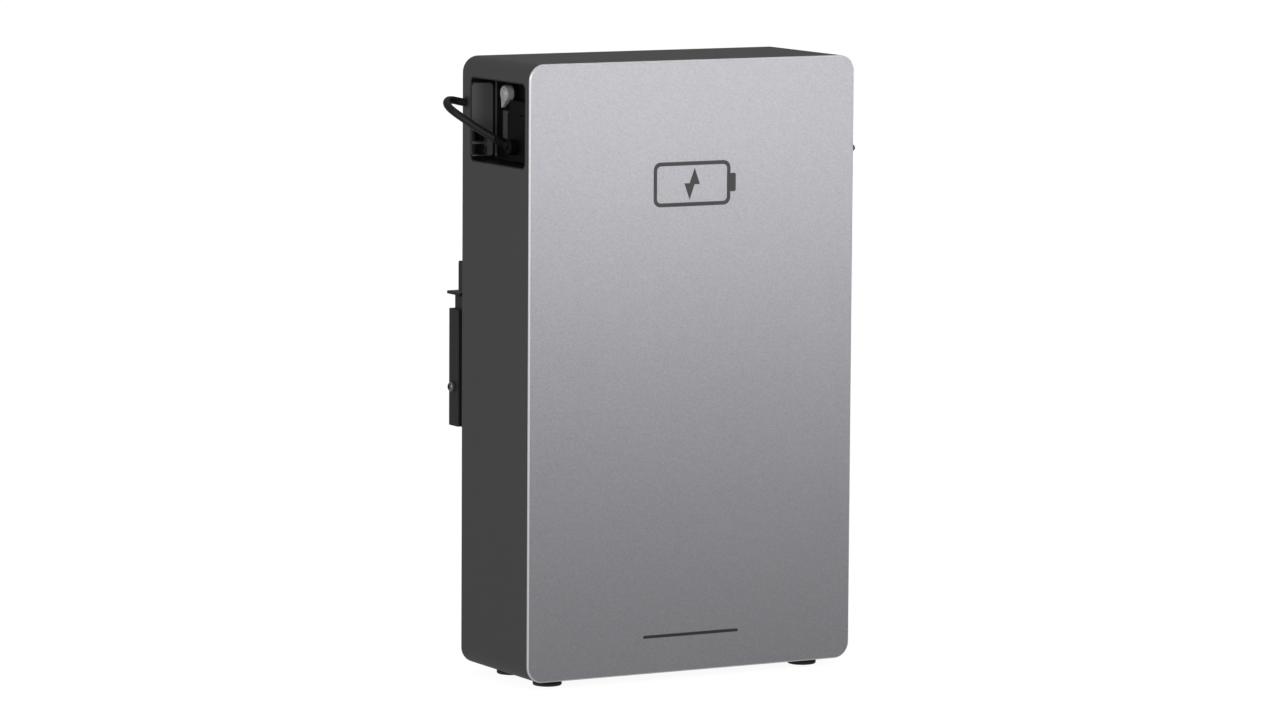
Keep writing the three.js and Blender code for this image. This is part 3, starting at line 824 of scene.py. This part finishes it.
@dataclass
class Lead:
    """A limp fine-stranded link lead, from its grommet in the side to its plug in the bay.

    The route's points are in millimetres: out from the side, back from the panel's face, and up from
    the case's bottom.
    """

    side: Side
    plug: tuple[float, float, float]
    route: Sequence[tuple[float, float, float]]
    diameter: float = 8 * MM
    sleeve_reach: float = 17
    cap_length: float = 10
    cap_radius: float = 8

    def point(self, place: tuple[float, float, float]) -> Vector:
        """A route's point in the frame."""
        out, back, up = place
        return at(self.side, -out, back, up)

    def entry(self) -> tuple[Vector, Vector]:
        """The plug's middle, and the direction in which its sleeve points."""
        centre = self.point(self.plug)
        return centre, (self.point(self.route[-1]) - centre).normalized()

    def line(self) -> list[Vector]:
        """The lead's centreline, as close points on one smooth curve.

        Returns:
            The points, from the grommet to the plug's sleeve.
        """
        centre, direction = self.entry()
        ends = [self.point(p) for p in self.route] + [centre + direction * (self.sleeve_reach + 0.3) * MM]
        spread = [ends[0] * 2 - ends[1], *ends, ends[-1] * 2 - ends[-2]]
        steps = 4
        line = []
        for a, b, c, d in zip(spread, spread[1:], spread[2:], spread[3:]):
            for step in range(steps):
                t = step / steps
                bend = (2 * a - 5 * b + 4 * c - d) * t**2 + (3 * b - a - 3 * c + d) * t**3
                line.append(0.5 * (2 * b + (c - a) * t + bend))
        return [*line, ends[-1]]

    def sheath(self) -> bpy.types.Object:
        """The lead itself, a curve with a round section.

        Returns:
            The lead.
        """
        line = self.line()
        name = f"{self.side.word}_lead_sheath"
        data = bpy.data.curves.new(name, "CURVE")
        data.dimensions, data.fill_mode, data.use_fill_caps = "3D", "FULL", True
        data.bevel_depth, data.bevel_resolution = self.diameter / 2, 6
        spline = data.splines.new("POLY")
        spline.points.add(len(line) - 1)
        for spot, place in zip(spline.points, line):
            spot.co = (*place, 1)
        spline.use_smooth = True
        lead = bpy.data.objects.new(name, data)
        bpy.context.scene.collection.objects.link(lead)
        return dress(lead, LEAD_SHEATH, f"{self.side.word}_lead")

    def length(self) -> float:
        """The centreline's length."""
        return sum((b - a).length for a, b in pairwise(self.line()))

    def plug_body(self) -> bpy.types.Object:
        """The plug: a cap on its socket, and a grooved sleeve that lets the lead bend.

        Returns:
            The plug.
        """
        centre, direction = self.entry()
        half, r = self.cap_length / 2, self.cap_radius
        cap = turned(
            "cap",
            [(r - 0.5, -half), (r, -half + 0.6), (r, half - 1.6), (r - 1.4, half - 0.2),
             (r - 2.2, half), (r - 2.6, half - 0.7), (0.5, half - 0.9)],
        )
        cap = aim(cap, outward(self.side), centre)
        name = f"{self.side.word}_lead_plug_body"
        ring, groove = 5.4, 0.8
        stations = [(ring, 2), (ring, 6.4)]
        for step in range(4):
            low, taper = 6.6 + 2.3 * step, 0.16 * (step + 1)
            stations += [
                (ring - groove - taper, low), (ring - groove - taper, low + 0.8),
                (ring - taper, low + 1.1), (ring - taper, low + 2.1),
            ]
        stations += [(4.3, self.sleeve_reach - 0.4), (4.1, self.sleeve_reach)]
        sleeve = aim(turned("sleeve", stations, 40), direction, centre)
        piece = weld(cap, sleeve)
        piece.name = piece.data.name = name
        return dress(piece, BLACK_NYLON, f"{self.side.word}_lead_plug")

    def grommet(self) -> bpy.types.Object:
        """The rubber grommet round the lead, with a rounded lip.

        Returns:
            The grommet.
        """
        proud = 1.2
        piece = turned(
            f"{self.side.word}_lead_grommet",
            [(4.2, -3), (4.2, 0.2), (6.1, 0.25), (6.3, 0.5),
             (6.2, 0.8), (5.7, 1.1), (5.1, proud), (4.5, proud - 0.2)],
        )
        return dress(
            aim(piece, outward(self.side), self.point((0, *self.route[0][1:]))), EPDM_RUBBER,
            f"{self.side.word}_grommet",
        )

    def build(self) -> None:
        """Makes the lead and what is on it."""
        sheath = self.sheath()
        plug = self.plug_body()
        grommet = self.grommet()


LEADS = (
    Lead(
        Side.LEFT,
        (-15.5, 71, 543),
        (
            (1.5, 139.5, 585), (4.5, 139.5, 585), (10, 139.5, 586.2), (17, 138.2, 587.6), (24, 134, 587.8),
            (29.5, 126.5, 585.5), (31, 117.5, 581.5), (28, 109, 576.5), (21.5, 102, 570.5), (13.5, 96, 563.8),
            (5, 90.5, 557.6), (-4, 84.5, 551.5),
        ),
    ),
    Lead(
        Side.RIGHT,
        (-15.5, 36, 548),
        (
            (1.5, 139.5, 585), (4.5, 139.5, 585), (10, 138.8, 584.2), (16, 136.4, 582), (21, 131, 578),
            (25.5, 121, 570), (28.5, 110, 560), (30.5, 99, 550.5), (32, 88, 542), (33, 77, 534.5),
            (33.4, 66, 530.5), (31, 57, 530), (23, 49.5, 533), (12, 44, 538), (0, 40.5, 543),
        ),
    ),
)


# ------------------------------------------------------------------ case, panel and feet


@dataclass
class Bay:
    """A connection bay: a moulded tray let into one side of the case."""

    side: Side
    front: float = 11.5
    rear: float = 130.5
    bottom: float = 526
    top: float = 611
    depth: float = 30
    wall: float = 0.9
    lip: float = 0.7 * MM
    sunk: float = 0.2
    corner: float = 6 * MM

    def prism(self, name: str, shallow: float, deep: float, grow: float) -> bpy.types.Object:
        """The bay's rounded outline as a prism.

        Args:
            name: The piece's name.
            shallow: Its outer end, in millimetres in from the side.
            deep: Its inner end.
            grow: How much larger than the mouth it is all round, in millimetres.

        Returns:
            The prism.
        """
        return rounded_block(
            name,
            at(self.side, shallow, self.front - grow, self.bottom - grow),
            at(self.side, deep, self.rear + grow, self.top + grow),
            Axis.X,
            self.corner + grow * MM,
        )

    def hollow(self, piece: bpy.types.Object, rim_x: float) -> None:
        """Insets the tray's outer face by its wall, and pushes what is inside the rim down to the floor.

        Args:
            piece: The tray as a solid prism.
            rim_x: Where its outer face lies.
        """
        choose(piece)
        bpy.ops.object.mode_set(mode="EDIT")
        bpy.ops.mesh.select_mode(type="FACE")
        bpy.ops.mesh.select_all(action="DESELECT")
        mesh = bmesh.from_edit_mesh(piece.data)
        for face in mesh.faces:
            face.select_set(all(abs(v.co.x - rim_x) < 1e-5 for v in face.verts))
        bmesh.update_edit_mesh(piece.data)
        bpy.ops.mesh.inset(thickness=self.wall * MM)
        sink = outward(self.side) * (self.sunk - self.depth) * MM
        bpy.ops.mesh.extrude_region_move(TRANSFORM_OT_translate={"value": sink})
        bpy.ops.object.mode_set(mode="OBJECT")

    def tray(self) -> None:
        """The tray, with a filleted floor and a rounded rim, and a black sheet on its floor that is painted
        shade.
        """
        piece = self.prism(f"{self.side.word}_bay_liner", self.sunk, self.depth + self.wall, self.wall)
        rim_x = at(self.side, self.sunk, 0, 0).x
        self.hollow(piece, rim_x)
        rim = lies_at(Axis.X, rim_x)
        low = at(self.side, 0, self.front - 0.2, self.bottom - 0.2)
        high = at(self.side, 0, self.rear + 0.2, self.top + 0.2)

        def at_mouth(edge: bmesh.types.BMEdge) -> bool:
            """Whether an edge is on the inner side of the rim."""
            return rim(edge) and all(low.y < v.co.y < high.y and low.z < v.co.z < high.z for v in edge.verts)

        round_edges(piece, at_mouth, self.lip, 4)
        round_edges(piece, lies_at(Axis.X, at(self.side, self.depth, 0, 0).x), 3 * MM, 5)
        # The liner's near black is painted shade.
        dress(piece, BAY_LINER, f"{self.side.word}_bay_tray")
        edge = 2.8
        # A near-black sheet laid on the bay's floor: painted shade.
        sheet = rounded_block(
            f"{self.side.word}_bay_sheet",
            at(self.side, self.depth - 0.2, self.front + edge, self.bottom + edge),
            at(self.side, self.depth, self.rear - edge, self.top - edge),
            Axis.X, 3 * MM,
        )
        dress(sheet, BLACK_NYLON)


@dataclass
class Case:
    """The folded case, its panel, gasket and feet."""

    lead_hole: float = 4.9
    painted_highlight_edge: float = 1.2 * MM
    mouth_round: float = 0.45 * MM
    foot_radius: float = 15

    def shell(self, bays: Sequence[Bay]) -> None:
        """The case's shell, open at the front, with both bays' mouths cut through it.

        Args:
            bays: The two bays.
        """
        piece = rounded_block("case_shell", CASE_LO, CASE_HI, Axis.Y, CORNER, 14)
        round_edges(piece, lies_at(Axis.Y, BACK_Y), SHEET, 4)
        wall = Vector((SHEET, 0, SHEET))
        cavity = rounded_block(
            "cavity", CASE_LO + wall - Vector((0, SHEET, 0)), CASE_HI - wall - Vector((0, SHEET, 0)),
            Axis.Y, CORNER - SHEET, 14,
        )
        cut(piece, cavity, *(bay.prism("mouth", -4, 6, bay.wall + 0.25) for bay in bays))
        for lead in LEADS:
            place = lead.point((0, *lead.route[0][1:]))
            cut(piece, bore_tool("hole", self.lead_hole, -5, 3, outward(lead.side), place))
        for bay in bays:
            side_x = bay.side.value * SIDE_X

            def at_mouth(edge: bmesh.types.BMEdge, plane: Test = lies_at(Axis.X, side_x)) -> bool:
                """Whether an edge is on a bay's mouth."""
                return plane(edge) and all(v.co.y > CASE_LO.y + 4 * MM for v in edge.verts)

            round_edges(piece, at_mouth, self.mouth_round, 3)
        dress(piece, POWDER_COAT, "rear_case")

    def panel(self) -> None:
        """The front panel: a lacquered plate, and the edge that runs round it in a lighter silver, which is a
        painted highlight.
        """
        edge = self.painted_highlight_edge
        # The edge's lighter silver is a painted highlight.
        frame_ring = rounded_block("panel_bright_edge", PANEL_LO, PANEL_HI, Axis.Y, CORNER, 14)
        round_edges(frame_ring, lies_at(Axis.Y, FRONT_Y), edge, 1)
        inset = Vector((edge, 0, edge))
        low, high = PANEL_LO + inset, PANEL_HI - inset
        reach = Vector((0, MM, 0))
        cut(frame_ring, rounded_block("opening", low - reach, high + reach, Axis.Y, CORNER - edge, 14))
        dress(frame_ring, EDGE_HIGHLIGHT_SILVER)
        plate = rounded_block("silver_panel", low, high, Axis.Y, CORNER - edge, 14)
        dress(plate, SILVER_LACQUER, "front_panel")

    def emblem(self) -> None:
        """A printed sign of a battery with a bolt of lightning, and a fine rule near the panel's foot."""
        proud = 0.12 * MM
        middle = Vector((0, FRONT_Y - proud / 2, BASE_Z + 505 * MM))

        def plate(
            name: str, x: float, half: tuple[float, float], radius: float, depth: float
        ) -> bpy.types.Object:
            """A flat rounded plate on the panel.

            Args:
                name: The plate's name.
                x: Its middle's place across the panel.
                half: Its half width and half height.
                radius: Its corners' radius.
                depth: How thick it is, in metres.

            Returns:
                The plate.
            """
            reach = Vector((half[0] * MM, depth / 2, half[1] * MM))
            centre = middle + Vector((x * MM, 0, 0))
            return rounded_block(name, centre - reach, centre + reach, Axis.Y, radius * MM, 6)

        outline = plate("battery_sign", -2, (45, 23), 8, proud)
        window = plate("window", -2, (41, 19), 4.5, 10 * proud)
        cap = plate("cap", 45.8, (3.6, 9.5), 1.8, proud)
        dress(weld(cut(outline, window), cap), PANEL_INK)
        self.lightning(middle + Vector((-2 * MM, -proud / 2, 0)), proud)
        low = Vector((-56 * MM, FRONT_Y - proud, BASE_Z + 37 * MM))
        rule = rounded_block("panel_rule", low, (-low.x, FRONT_Y, low.z + 3.2 * MM), Axis.Y, 1.4 * MM, 4)
        dress(rule, PANEL_INK)

    def lightning(self, middle: Vector, thick: float) -> None:
        """The bolt of lightning: a slim triangle drawn out of a disc, and the same one turned over.

        Args:
            middle: The bolt's middle, on its front face.
            thick: How thick the ink is.
        """

        def wedge(name: str, turn: float) -> bpy.types.Object:
            """Half of the bolt, turned about the middle.

            Args:
                name: The half's name.
                turn: Its turn in radians.

            Returns:
                The half.
            """
            clear_bench()
            bpy.ops.mesh.primitive_circle_add(vertices=3, radius=12 * MM, fill_type="NGON")
            piece = settle(bpy.context.object, name)
            piece.scale = (0.6, 0.95, 1)
            piece.location = (2.9 * MM, 5 * MM, 0)
            settle(piece, name)
            bpy.ops.object.mode_set(mode="EDIT")
            bpy.ops.mesh.select_all(action="SELECT")
            bpy.ops.mesh.extrude_region_move(TRANSFORM_OT_translate={"value": (0, 0, -thick)})
            bpy.ops.mesh.select_all(action="SELECT")
            bpy.ops.mesh.normals_make_consistent(inside=False)
            bpy.ops.object.mode_set(mode="OBJECT")
            upright = Matrix.Rotation(math.radians(90), 4, "X")
            piece.matrix_world = Matrix.Translation(middle) @ upright @ Matrix.Rotation(turn, 4, "Z")
            return settle(piece, name)

        dress(weld(wedge("lightning_sign", 0.0), wedge("lower", math.pi)), PANEL_INK)

    def feet(self) -> None:
        """Four rubber feet with a grooved rim and a recess for the screw, modelled once and copied."""
        low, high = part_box("foot_front_left")
        r, tall = self.foot_radius, (high.z - low.z) / MM
        first = turned(
            "rubber_foot",
            [(r - 1.6, 0), (r - 0.6, 0.3), (r, 1.2), (r, 3.2), (r - 0.7, 3.6), (r - 0.7, 4.2), (r, 4.6),
             (r, tall - 0.5), (r - 0.4, tall)],
            64,
        )
        cut(first, turned("recess", [(5.6, -1), (5.6, 4)]))
        for row, side in product(("front", "rear"), Side):
            node = f"foot_{row}_{side.word}"
            low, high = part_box(node)
            place = Vector(((low.x + high.x) / 2, (low.y + high.y) / 2, low.z))
            dress(aim(copy_of(first, f"rubber_{node}"), Vector((0, 0, 1)), place), EPDM_RUBBER, node)
        bpy.data.objects.remove(first)

    def build(self, bays: Sequence[Bay]) -> None:
        """Makes the case's pieces."""
        self.shell(bays)
        self.panel()
        self.emblem()
        self.feet()
        dress_node("panel_gasket", EPDM_RUBBER)
        dress_node("vent_valve", BLACK_NYLON)
        for row, side in product(("front", "rear"), Side):
            dress_node(f"foot_screw_{row}_{side.word}", ZINC_PLATE)


# ------------------------------------------------------------------ what is in the bays


@dataclass
class LeftBayFittings:
    """The isolator with its knob and shaft, the terminal cover and the data sockets."""

    axis_back: float = 91.6
    axis_up: float = 596.3
    knob_radius: float = 8.8
    pointer: float = 14.5 * MM
    sweep: float = 5.4 * MM

    def axis_point(self, inset: float) -> Vector:
        """A point on the isolator's axis, in millimetres in from the side."""
        return at(Side.LEFT, inset, self.axis_back, self.axis_up)

    def isolator(self) -> None:
        """The isolator's body: a moulded block, stepped round its knob, with two screw pits let in."""
        left = Side.LEFT
        low, high = at(left, 21, 13, 527.5), at(left, 29.7, 89, 590)
        piece = rounded_block("isolator_block", low, high, Axis.X, 2 * MM, 4)
        room = bore_tool("room", self.knob_radius + 0.8, 0, 16, outward(left), self.axis_point(26.2))
        swing = block(
            "swing",
            at(left, 10, self.axis_back - 7, self.axis_up - 20),
            at(left, 26.2, self.axis_back + 7, self.axis_up),
        )
        cut(piece, room, swing)
        boss = bore_tool("boss", 10.5, 0.05, 3.5, outward(left), self.axis_point(29.7))
        weld(piece, boss)
        ledge = block("ledge", at(left, 20, 15, 575), at(left, 22.2, 62, 577))
        cut(piece, ledge)
        for back, up in ((19, 584), (19, 533)):
            cut(piece, bore_tool("pit", 2.6, -3, 1, outward(left), at(left, 21, back, up)))
        soften(piece, 0.7 * MM)
        dress(piece, BLACK_NYLON, "isolator_body")

    def knob(self) -> None:
        """The knob: a stepped disc drawn out into a tapered pointer."""
        left, r = Side.LEFT, self.knob_radius
        disc = turned(
            "knob",
            [(r - 0.6, 0), (r, 0.6), (r, 6.6), (r - 0.9, 8.0), (r - 2.4, 8.6),
             (r - 2.9, 8.2), (r - 3.3, 8.2), (r - 3.8, 9.0), (r - 5.4, 9.6)],
            64,
        )
        disc = aim(disc, outward(left), self.axis_point(25.9))
        tip = block(
            "tip",
            self.axis_point(25.3) + Vector((0, -7.4 * MM, -self.pointer)),
            self.axis_point(18.6) + Vector((0, 7.4 * MM, -3 * MM)),
        )
        choose(tip)
        bpy.ops.object.mode_set(mode="EDIT")
        bpy.ops.mesh.select_mode(type="VERT")
        bpy.ops.mesh.select_all(action="DESELECT")
        mesh = bmesh.from_edit_mesh(tip.data)
        low = self.axis_point(0).z - self.pointer
        for vert in mesh.verts:
            if abs(vert.co.z - low) < 1e-5:
                vert.select_set(True)
        bmesh.update_edit_mesh(tip.data)
        foot = self.axis_point(18.6) - Vector((0, 0, self.pointer))
        bpy.ops.transform.resize(value=(0.4, 0.16, 1), center_override=foot)
        bpy.ops.transform.translate(value=(0, self.sweep, 0))
        bpy.ops.object.mode_set(mode="OBJECT")
        piece = soften(weld(disc, tip), 0.6 * MM, 3, 50)
        piece.name = piece.data.name = "isolator_pointer_knob"
        dress(piece, BLASTED_ALUMINIUM, "isolator_knob", body=Body.SWITCH)

    def terminal_cover(self) -> None:
        """The narrow cover beside the isolator, with a shallow rib down its middle."""
        left = Side.LEFT
        low, high = at(left, 22.4, 91, 545), at(left, 29.7, 102, 578.5)
        piece = rounded_block("cover_strip", low, high, Axis.X, 1.5 * MM, 4)
        rib = rounded_block("rib", at(left, 22, 95.2, 549), at(left, 24, 97.8, 574.5), Axis.X, 1.2 * MM, 4)
        dress(soften(weld(piece, rib), 0.4 * MM), GREY_ABS, "terminal_cover")

    def data_sockets(self) -> None:
        """Two data sockets on the bay's rear wall, each with a stepped mouth, modelled once and copied."""
        low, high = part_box("data_socket_upper")
        upper = block("upper_data_port", low, high)
        inner = Vector((2 * MM, 0, 2 * MM))
        mouth = block("mouth", low + inner - Vector((0, MM, 0)), high - inner - Vector((0, 1.5 * MM, 0)))
        latch = block(
            "latch",
            (low.x + 4 * MM, low.y - MM, low.z + 1 * MM),
            (high.x - 4 * MM, high.y - 2 * MM, low.z + 4 * MM),
        )
        soften(cut(upper, mouth, latch), 0.35 * MM)
        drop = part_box("data_socket_lower")[0] - low
        lower = aim(copy_of(upper, "lower_data_port"), Vector((0, 0, 1)), drop)
        dress(upper, BLACK_NYLON, "data_socket_upper")
        dress(lower, BLACK_NYLON, "data_socket_lower")

    def socket_plate(self) -> None:
        """A paler grey plate round the data sockets on the bay's rear wall, which is a painted pool of light.
        """
        left = Side.LEFT
        low, high = at(left, 1.2, 130.1, 529), at(left, 25.5, 130.5, 605)
        # The plate's paler grey is painted light on the rear wall.
        plate = rounded_block("rear_wall_painted_light_plate", low, high, Axis.Y, 4 * MM)
        dress(plate, PAINTED_LIGHT_PLATE)

    def build(self) -> None:
        """Makes the left bay's fittings."""
        self.socket_plate()
        self.isolator()
        self.knob()
        self.terminal_cover()
        self.data_sockets()
        dress_node("isolator_shaft", ZINC_PLATE)


@dataclass
class RightBayFittings:
    """The start button in its bezel, the status lens, the earth stud and the link socket."""

    floor: float = 29.7
    button_back: float = 104
    button_up: float = 586

    def on_floor(self, piece: bpy.types.Object, back: float, up: float) -> bpy.types.Object:
        """Stands a turned piece on the bay's floor, facing out."""
        return aim(piece, outward(Side.RIGHT), at(Side.RIGHT, self.floor, back, up))

    def start_button(self) -> None:
        """The bezel, a ring turned from bar, and the button's dished cap inside it."""
        ring = turned(
            "button_ring",
            [(11, 0), (11, 3.2), (10.6, 3.6), (9.9, 4.7), (9.4, 5),
             (6.8, 5)],
            64,
        )
        ring = self.on_floor(ring, self.button_back, self.button_up)
        bore = turned("bore", [(7.4, 0.4), (7.4, 9)], 64)
        bore = self.on_floor(bore, self.button_back, self.button_up)
        dress(soften(cut(ring, bore), 0.25), BLASTED_ALUMINIUM, "button_bezel")
        cap = turned(
            "button_cap",
            [(6.9, 3.8), (6.9, 7.5), (6.6, 8.1), (5.9, 8.35),
             (5.0, 8.2), (3.2, 7.8), (1.4, 7.65)],
            64,
        )
        cap = self.on_floor(cap, self.button_back, self.button_up)
        dress(cap, BLACK_NYLON, "start_button", body=Body.BUTTON)

    def status_lens(self) -> None:
        """The domed status lens."""
        dome = turned(
            "status_dome",
            [(4, 0), (4, 1.2), (3.7, 1.9), (3, 2.5), (1.9, 2.85),
             (0.8, 3)],
            40,
        )
        dress(self.on_floor(dome, self.button_back, 562), STATUS_LENS, "status_lens")

    def earth_stud(self) -> None:
        """The earth stud: washer, hexagon nut and thread."""
        washer = turned("earth_terminal", [(6.5, 0), (6.5, 1.2), (6.3, 1.4)])
        nut = turned("nut", [(4.6, 1.3), (5, 1.7), (5, 4.7), (4.6, 5)], 6)
        pitch, crest, root = 0.9, 3, 2.6
        stations = [(root, 4.5)]
        for turn in range(11):
            low = 5 + turn * pitch
            stations += [(root, low), (crest, low + 0.3), (crest, low + 0.5), (root, low + 0.8)]
        thread = turned("thread", [*stations, (2.3, 15.8)], 32)
        dress(self.on_floor(weld(washer, nut, thread), 116, 541), ZINC_PLATE, "earth_stud")

    def link_socket(self) -> None:
        """The socket that the right lead's plug sits on."""
        socket = turned(
            "link_base",
            [(11, 0), (11, 2.5), (10.4, 3.1), (9.2, 3.9), (9.2, 8.2),
             (8.7, 8.7)],
            64,
        )
        dress(self.on_floor(socket, 36, 548), BLACK_NYLON, "link_socket")

    def build(self) -> None:
        """Makes the right bay's fittings."""
        self.start_button()
        self.status_lens()
        self.earth_stud()
        self.link_socket()


# ------------------------------------------------------------------ wall bracket and hanger


@dataclass
class WallMount:
    """The hanger on the case's back, the bracket on the wall, and the bolts that lock the two.

    Heights are in millimetres above the case's bottom.
    """

    sheet: float = 3 * MM
    fold: float = 3.5 * MM
    plate_inset: float = 5
    relief: float = 8 * MM
    flange_top: float = 367
    flange_reach: float = 24 * MM
    slots: tuple[float, float] = (275, 350.5)
    web_back: float = 10 * MM
    wing_bottom: float = 387
    ear_inset: float = 8.4
    ear_top: float = 381
    heel_top: float = 362
    ear_reach: float = 31 * MM
    heel_reach: float = 36.5 * MM
    hook_reach: float = 26 * MM
    bolt_back: float = 29.5 * MM
    bolt_up: float = 285.7

    def bolt_point(self, side: Side, inset: float) -> Vector:
        """A point on a lock bolt's axis."""
        place = at(side, inset, 0, self.bolt_up)
        return Vector((place.x, BACK_Y + self.bolt_back, place.z))

    def bolt_hole(self, side: Side) -> bpy.types.Object:
        """A tool that bores a lock bolt's clearance hole."""
        return bore_tool("hole", 2.9, -14, 0, outward(side), self.bolt_point(side, 0))

    def bracket(self) -> None:
        """The wall bracket: a plate with its shelf and two flanges folded forward, and four slots."""
        low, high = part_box("wall_bracket")
        flange_top = BASE_Z + self.flange_top * MM
        outer = SIDE_X - self.plate_inset * MM
        front, thin = high.y - self.sheet, self.sheet
        piece = block("folded_wall_bracket", (-outer, front, low.z), (outer, high.y, flange_top))
        neck = block("neck", (self.relief - outer, front, low.z), (outer - self.relief, high.y, high.z))
        shelf = block("shelf", (low.x, low.y, high.z - thin), high)
        round_edges(shelf, runs_along(Axis.Z), 1.5 * MM, 3)
        flanges = [
            block(
                "flange",
                (side.value * outer, high.y - self.flange_reach, low.z),
                (side.value * (outer - thin), high.y, flange_top),
            )
            for side in Side
        ]
        weld(piece, neck, shelf, *flanges)

        def folded(edge: bmesh.types.BMEdge) -> bool:
            """Whether an edge is on the outside of a flange's fold."""
            on_wall = all(abs(v.co.y - high.y) < 1e-5 for v in edge.verts)
            return on_wall and runs_along(Axis.Z)(edge) and abs(abs(edge.verts[0].co.x) - outer) < 1e-5

        round_edges(piece, folded, self.fold, 5)

        def at_flange_corner(edge: bmesh.types.BMEdge) -> bool:
            """Whether an edge is on a flange's free corner."""
            free = all(abs(v.co.y - (high.y - self.flange_reach)) < 1e-5 for v in edge.verts)
            return free and runs_along(Axis.X)(edge)

        round_edges(piece, at_flange_corner, 2 * MM, 4)
        for x, up in product((-130, 130), self.slots):
            middle = Vector((x * MM, high.y, BASE_Z + up * MM))
            reach = Vector((5 * MM, 9 * MM, 9 * MM))
            cut(piece, rounded_block("slot", middle - reach, middle + reach, Axis.Y, 4.9 * MM, 6))
        cut(piece, *(self.bolt_hole(side) for side in Side))
        dress(soften(piece, 0.3 * MM, 2, 60), BLACK_STEEL, "wall_bracket")

    def hanger(self) -> None:
        """The hanger: a shallow pan on the case's back, with two hooks and two ears folded back."""
        low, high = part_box("rear_hanger")
        sheet, web, foot = 2.8 * MM, BACK_Y + self.web_back, BACK_Y + 0.3 * MM
        inner = SIDE_X - self.ear_inset * MM
        wing_foot = BASE_Z + self.wing_bottom * MM
        piece = block("folded_hanger", (low.x, web - sheet, wing_foot), (high.x, web, high.z))
        wings = [
            block("wing", (x, foot, wing_foot), (x - side.value * sheet, web, high.z))
            for side, x in ((Side.LEFT, low.x), (Side.RIGHT, high.x))
        ]
        weld(piece, *wings)

        def at_corner(edge: bmesh.types.BMEdge) -> bool:
            """Whether an edge is on an upper or lower rear corner."""
            return runs_along(Axis.X)(edge) and abs(edge.verts[0].co.y - web) < 1e-5

        def at_hook_end(edge: bmesh.types.BMEdge) -> bool:
            """Whether an edge is an upright one on a hook's free end."""
            return runs_along(Axis.Z)(edge) and edge.verts[0].co.y > web

        round_edges(piece, at_corner, 2.4 * MM, 4)
        weld(piece, block("plate", (-inner, web - sheet, low.z), (inner, web, wing_foot + MM)))
        for side in Side:
            ear_x, inner_x = side.value * inner, side.value * (inner - 3 * MM)
            ear_foot = (ear_x, foot, low.z)
            ear_end = (inner_x, BACK_Y + self.ear_reach, BASE_Z + self.ear_top * MM)
            heel_end = (inner_x, BACK_Y + self.heel_reach, BASE_Z + self.heel_top * MM)
            ear = block("ear", ear_foot, (inner_x, web, wing_foot + MM))
            tall = block("tall", ear_foot, ear_end)
            heel = block("heel", ear_foot, heel_end)
            hook = block(
                "hook",
                (side.value * 90 * MM, web - MM, BASE_Z + 385.8 * MM),
                (side.value * 150 * MM, BACK_Y + self.hook_reach, BASE_Z + 388.8 * MM),
            )
            round_edges(hook, at_hook_end, 5 * MM, 4)
            weld(piece, weld(ear, tall, heel), hook)
            cut(piece, self.bolt_hole(side))
        dress(soften(piece, 0.3 * MM, 2, 60), BLACK_STEEL, "rear_hanger")

    def hanger_screws(self) -> None:
        """Six button-head screws that hold the hanger's web, modelled once and copied."""
        first = turned(
            "hanger_screw",
            [(5, 0), (5, 0.5), (4.7, 1.4), (3.9, 2.2), (2.8, 2.6)], 32,
        )
        cut(first, turned("hexagon", [(1.7, 1.0), (1.7, 3)], 6))
        for number, (up, x) in enumerate(product((300, 408), (-60, 0, 60)), 1):
            place = (x * MM, BACK_Y + self.web_back, BASE_Z + up * MM)
            dress(aim(copy_of(first, f"hanger_screw_{number}"), Vector((0, 1, 0)), place), ZINC_PLATE)
        bpy.data.objects.remove(first)

    def lock_bolts(self) -> None:
        """The two socket-head bolts through the bracket's flanges, modelled once and copied."""
        first = turned(
            "socket_bolt",
            [(2.5, -10), (2.5, 0), (5.3, 0), (5.3, 0.9), (5.1, 1.9), (4.6, 2.9), (3.9, 3.7), (3.0, 4.2),
             (2.8, 4.3)],
        )
        cut(first, turned("hexagon", [(2.5, 2), (2.5, 5)], 6))
        for side in Side:
            bolt = aim(
                copy_of(first, f"{side.word}_socket_bolt"),
                outward(side),
                self.bolt_point(side, self.plate_inset - 0.3),
            )
            dress(bolt, DARK_BOLT, f"lock_bolt_{side.word}")
        bpy.data.objects.remove(first)

    def build(self) -> None:
        """Makes the hanger, the bracket and their bolts."""
        self.bracket()
        self.hanger()
        self.hanger_screws()
        self.lock_bolts()


# ------------------------------------------------------------------ inside the case


def dress_inside() -> None:
    """Gives the cell pack and the electronics their finishes."""
    for side, row in product(Side, range(1, 9)):
        dress_node(f"cell_{side.word}_{row}", CELL_FILM)
    for side in Side:
        dress_node(f"contact_board_{side.word}", ROLLED_COPPER)
    for name in ("pack_plate_bottom", "pack_plate_top", "management_plate"):
        dress_node(name, ZINC_PLATE)
    dress_node("management_board", SOLDER_MASK)
    dress_node("contactor", BLACK_NYLON)
    dress_node("main_fuse", GREY_ABS)


def main() -> None:
    """Builds the studio and every piece."""
    logging.basicConfig(level=logging.INFO, format="%(message)s")
    Studio().build()
    for lead in LEADS:
        lead.build()
    bays = [Bay(side) for side in Side]
    Case().build(bays)
    for bay in bays:
        bay.tray()
    LeftBayFittings().build()
    RightBayFittings().build()
    WallMount().build()
    dress_inside()


if __name__ == "__main__":
    main()
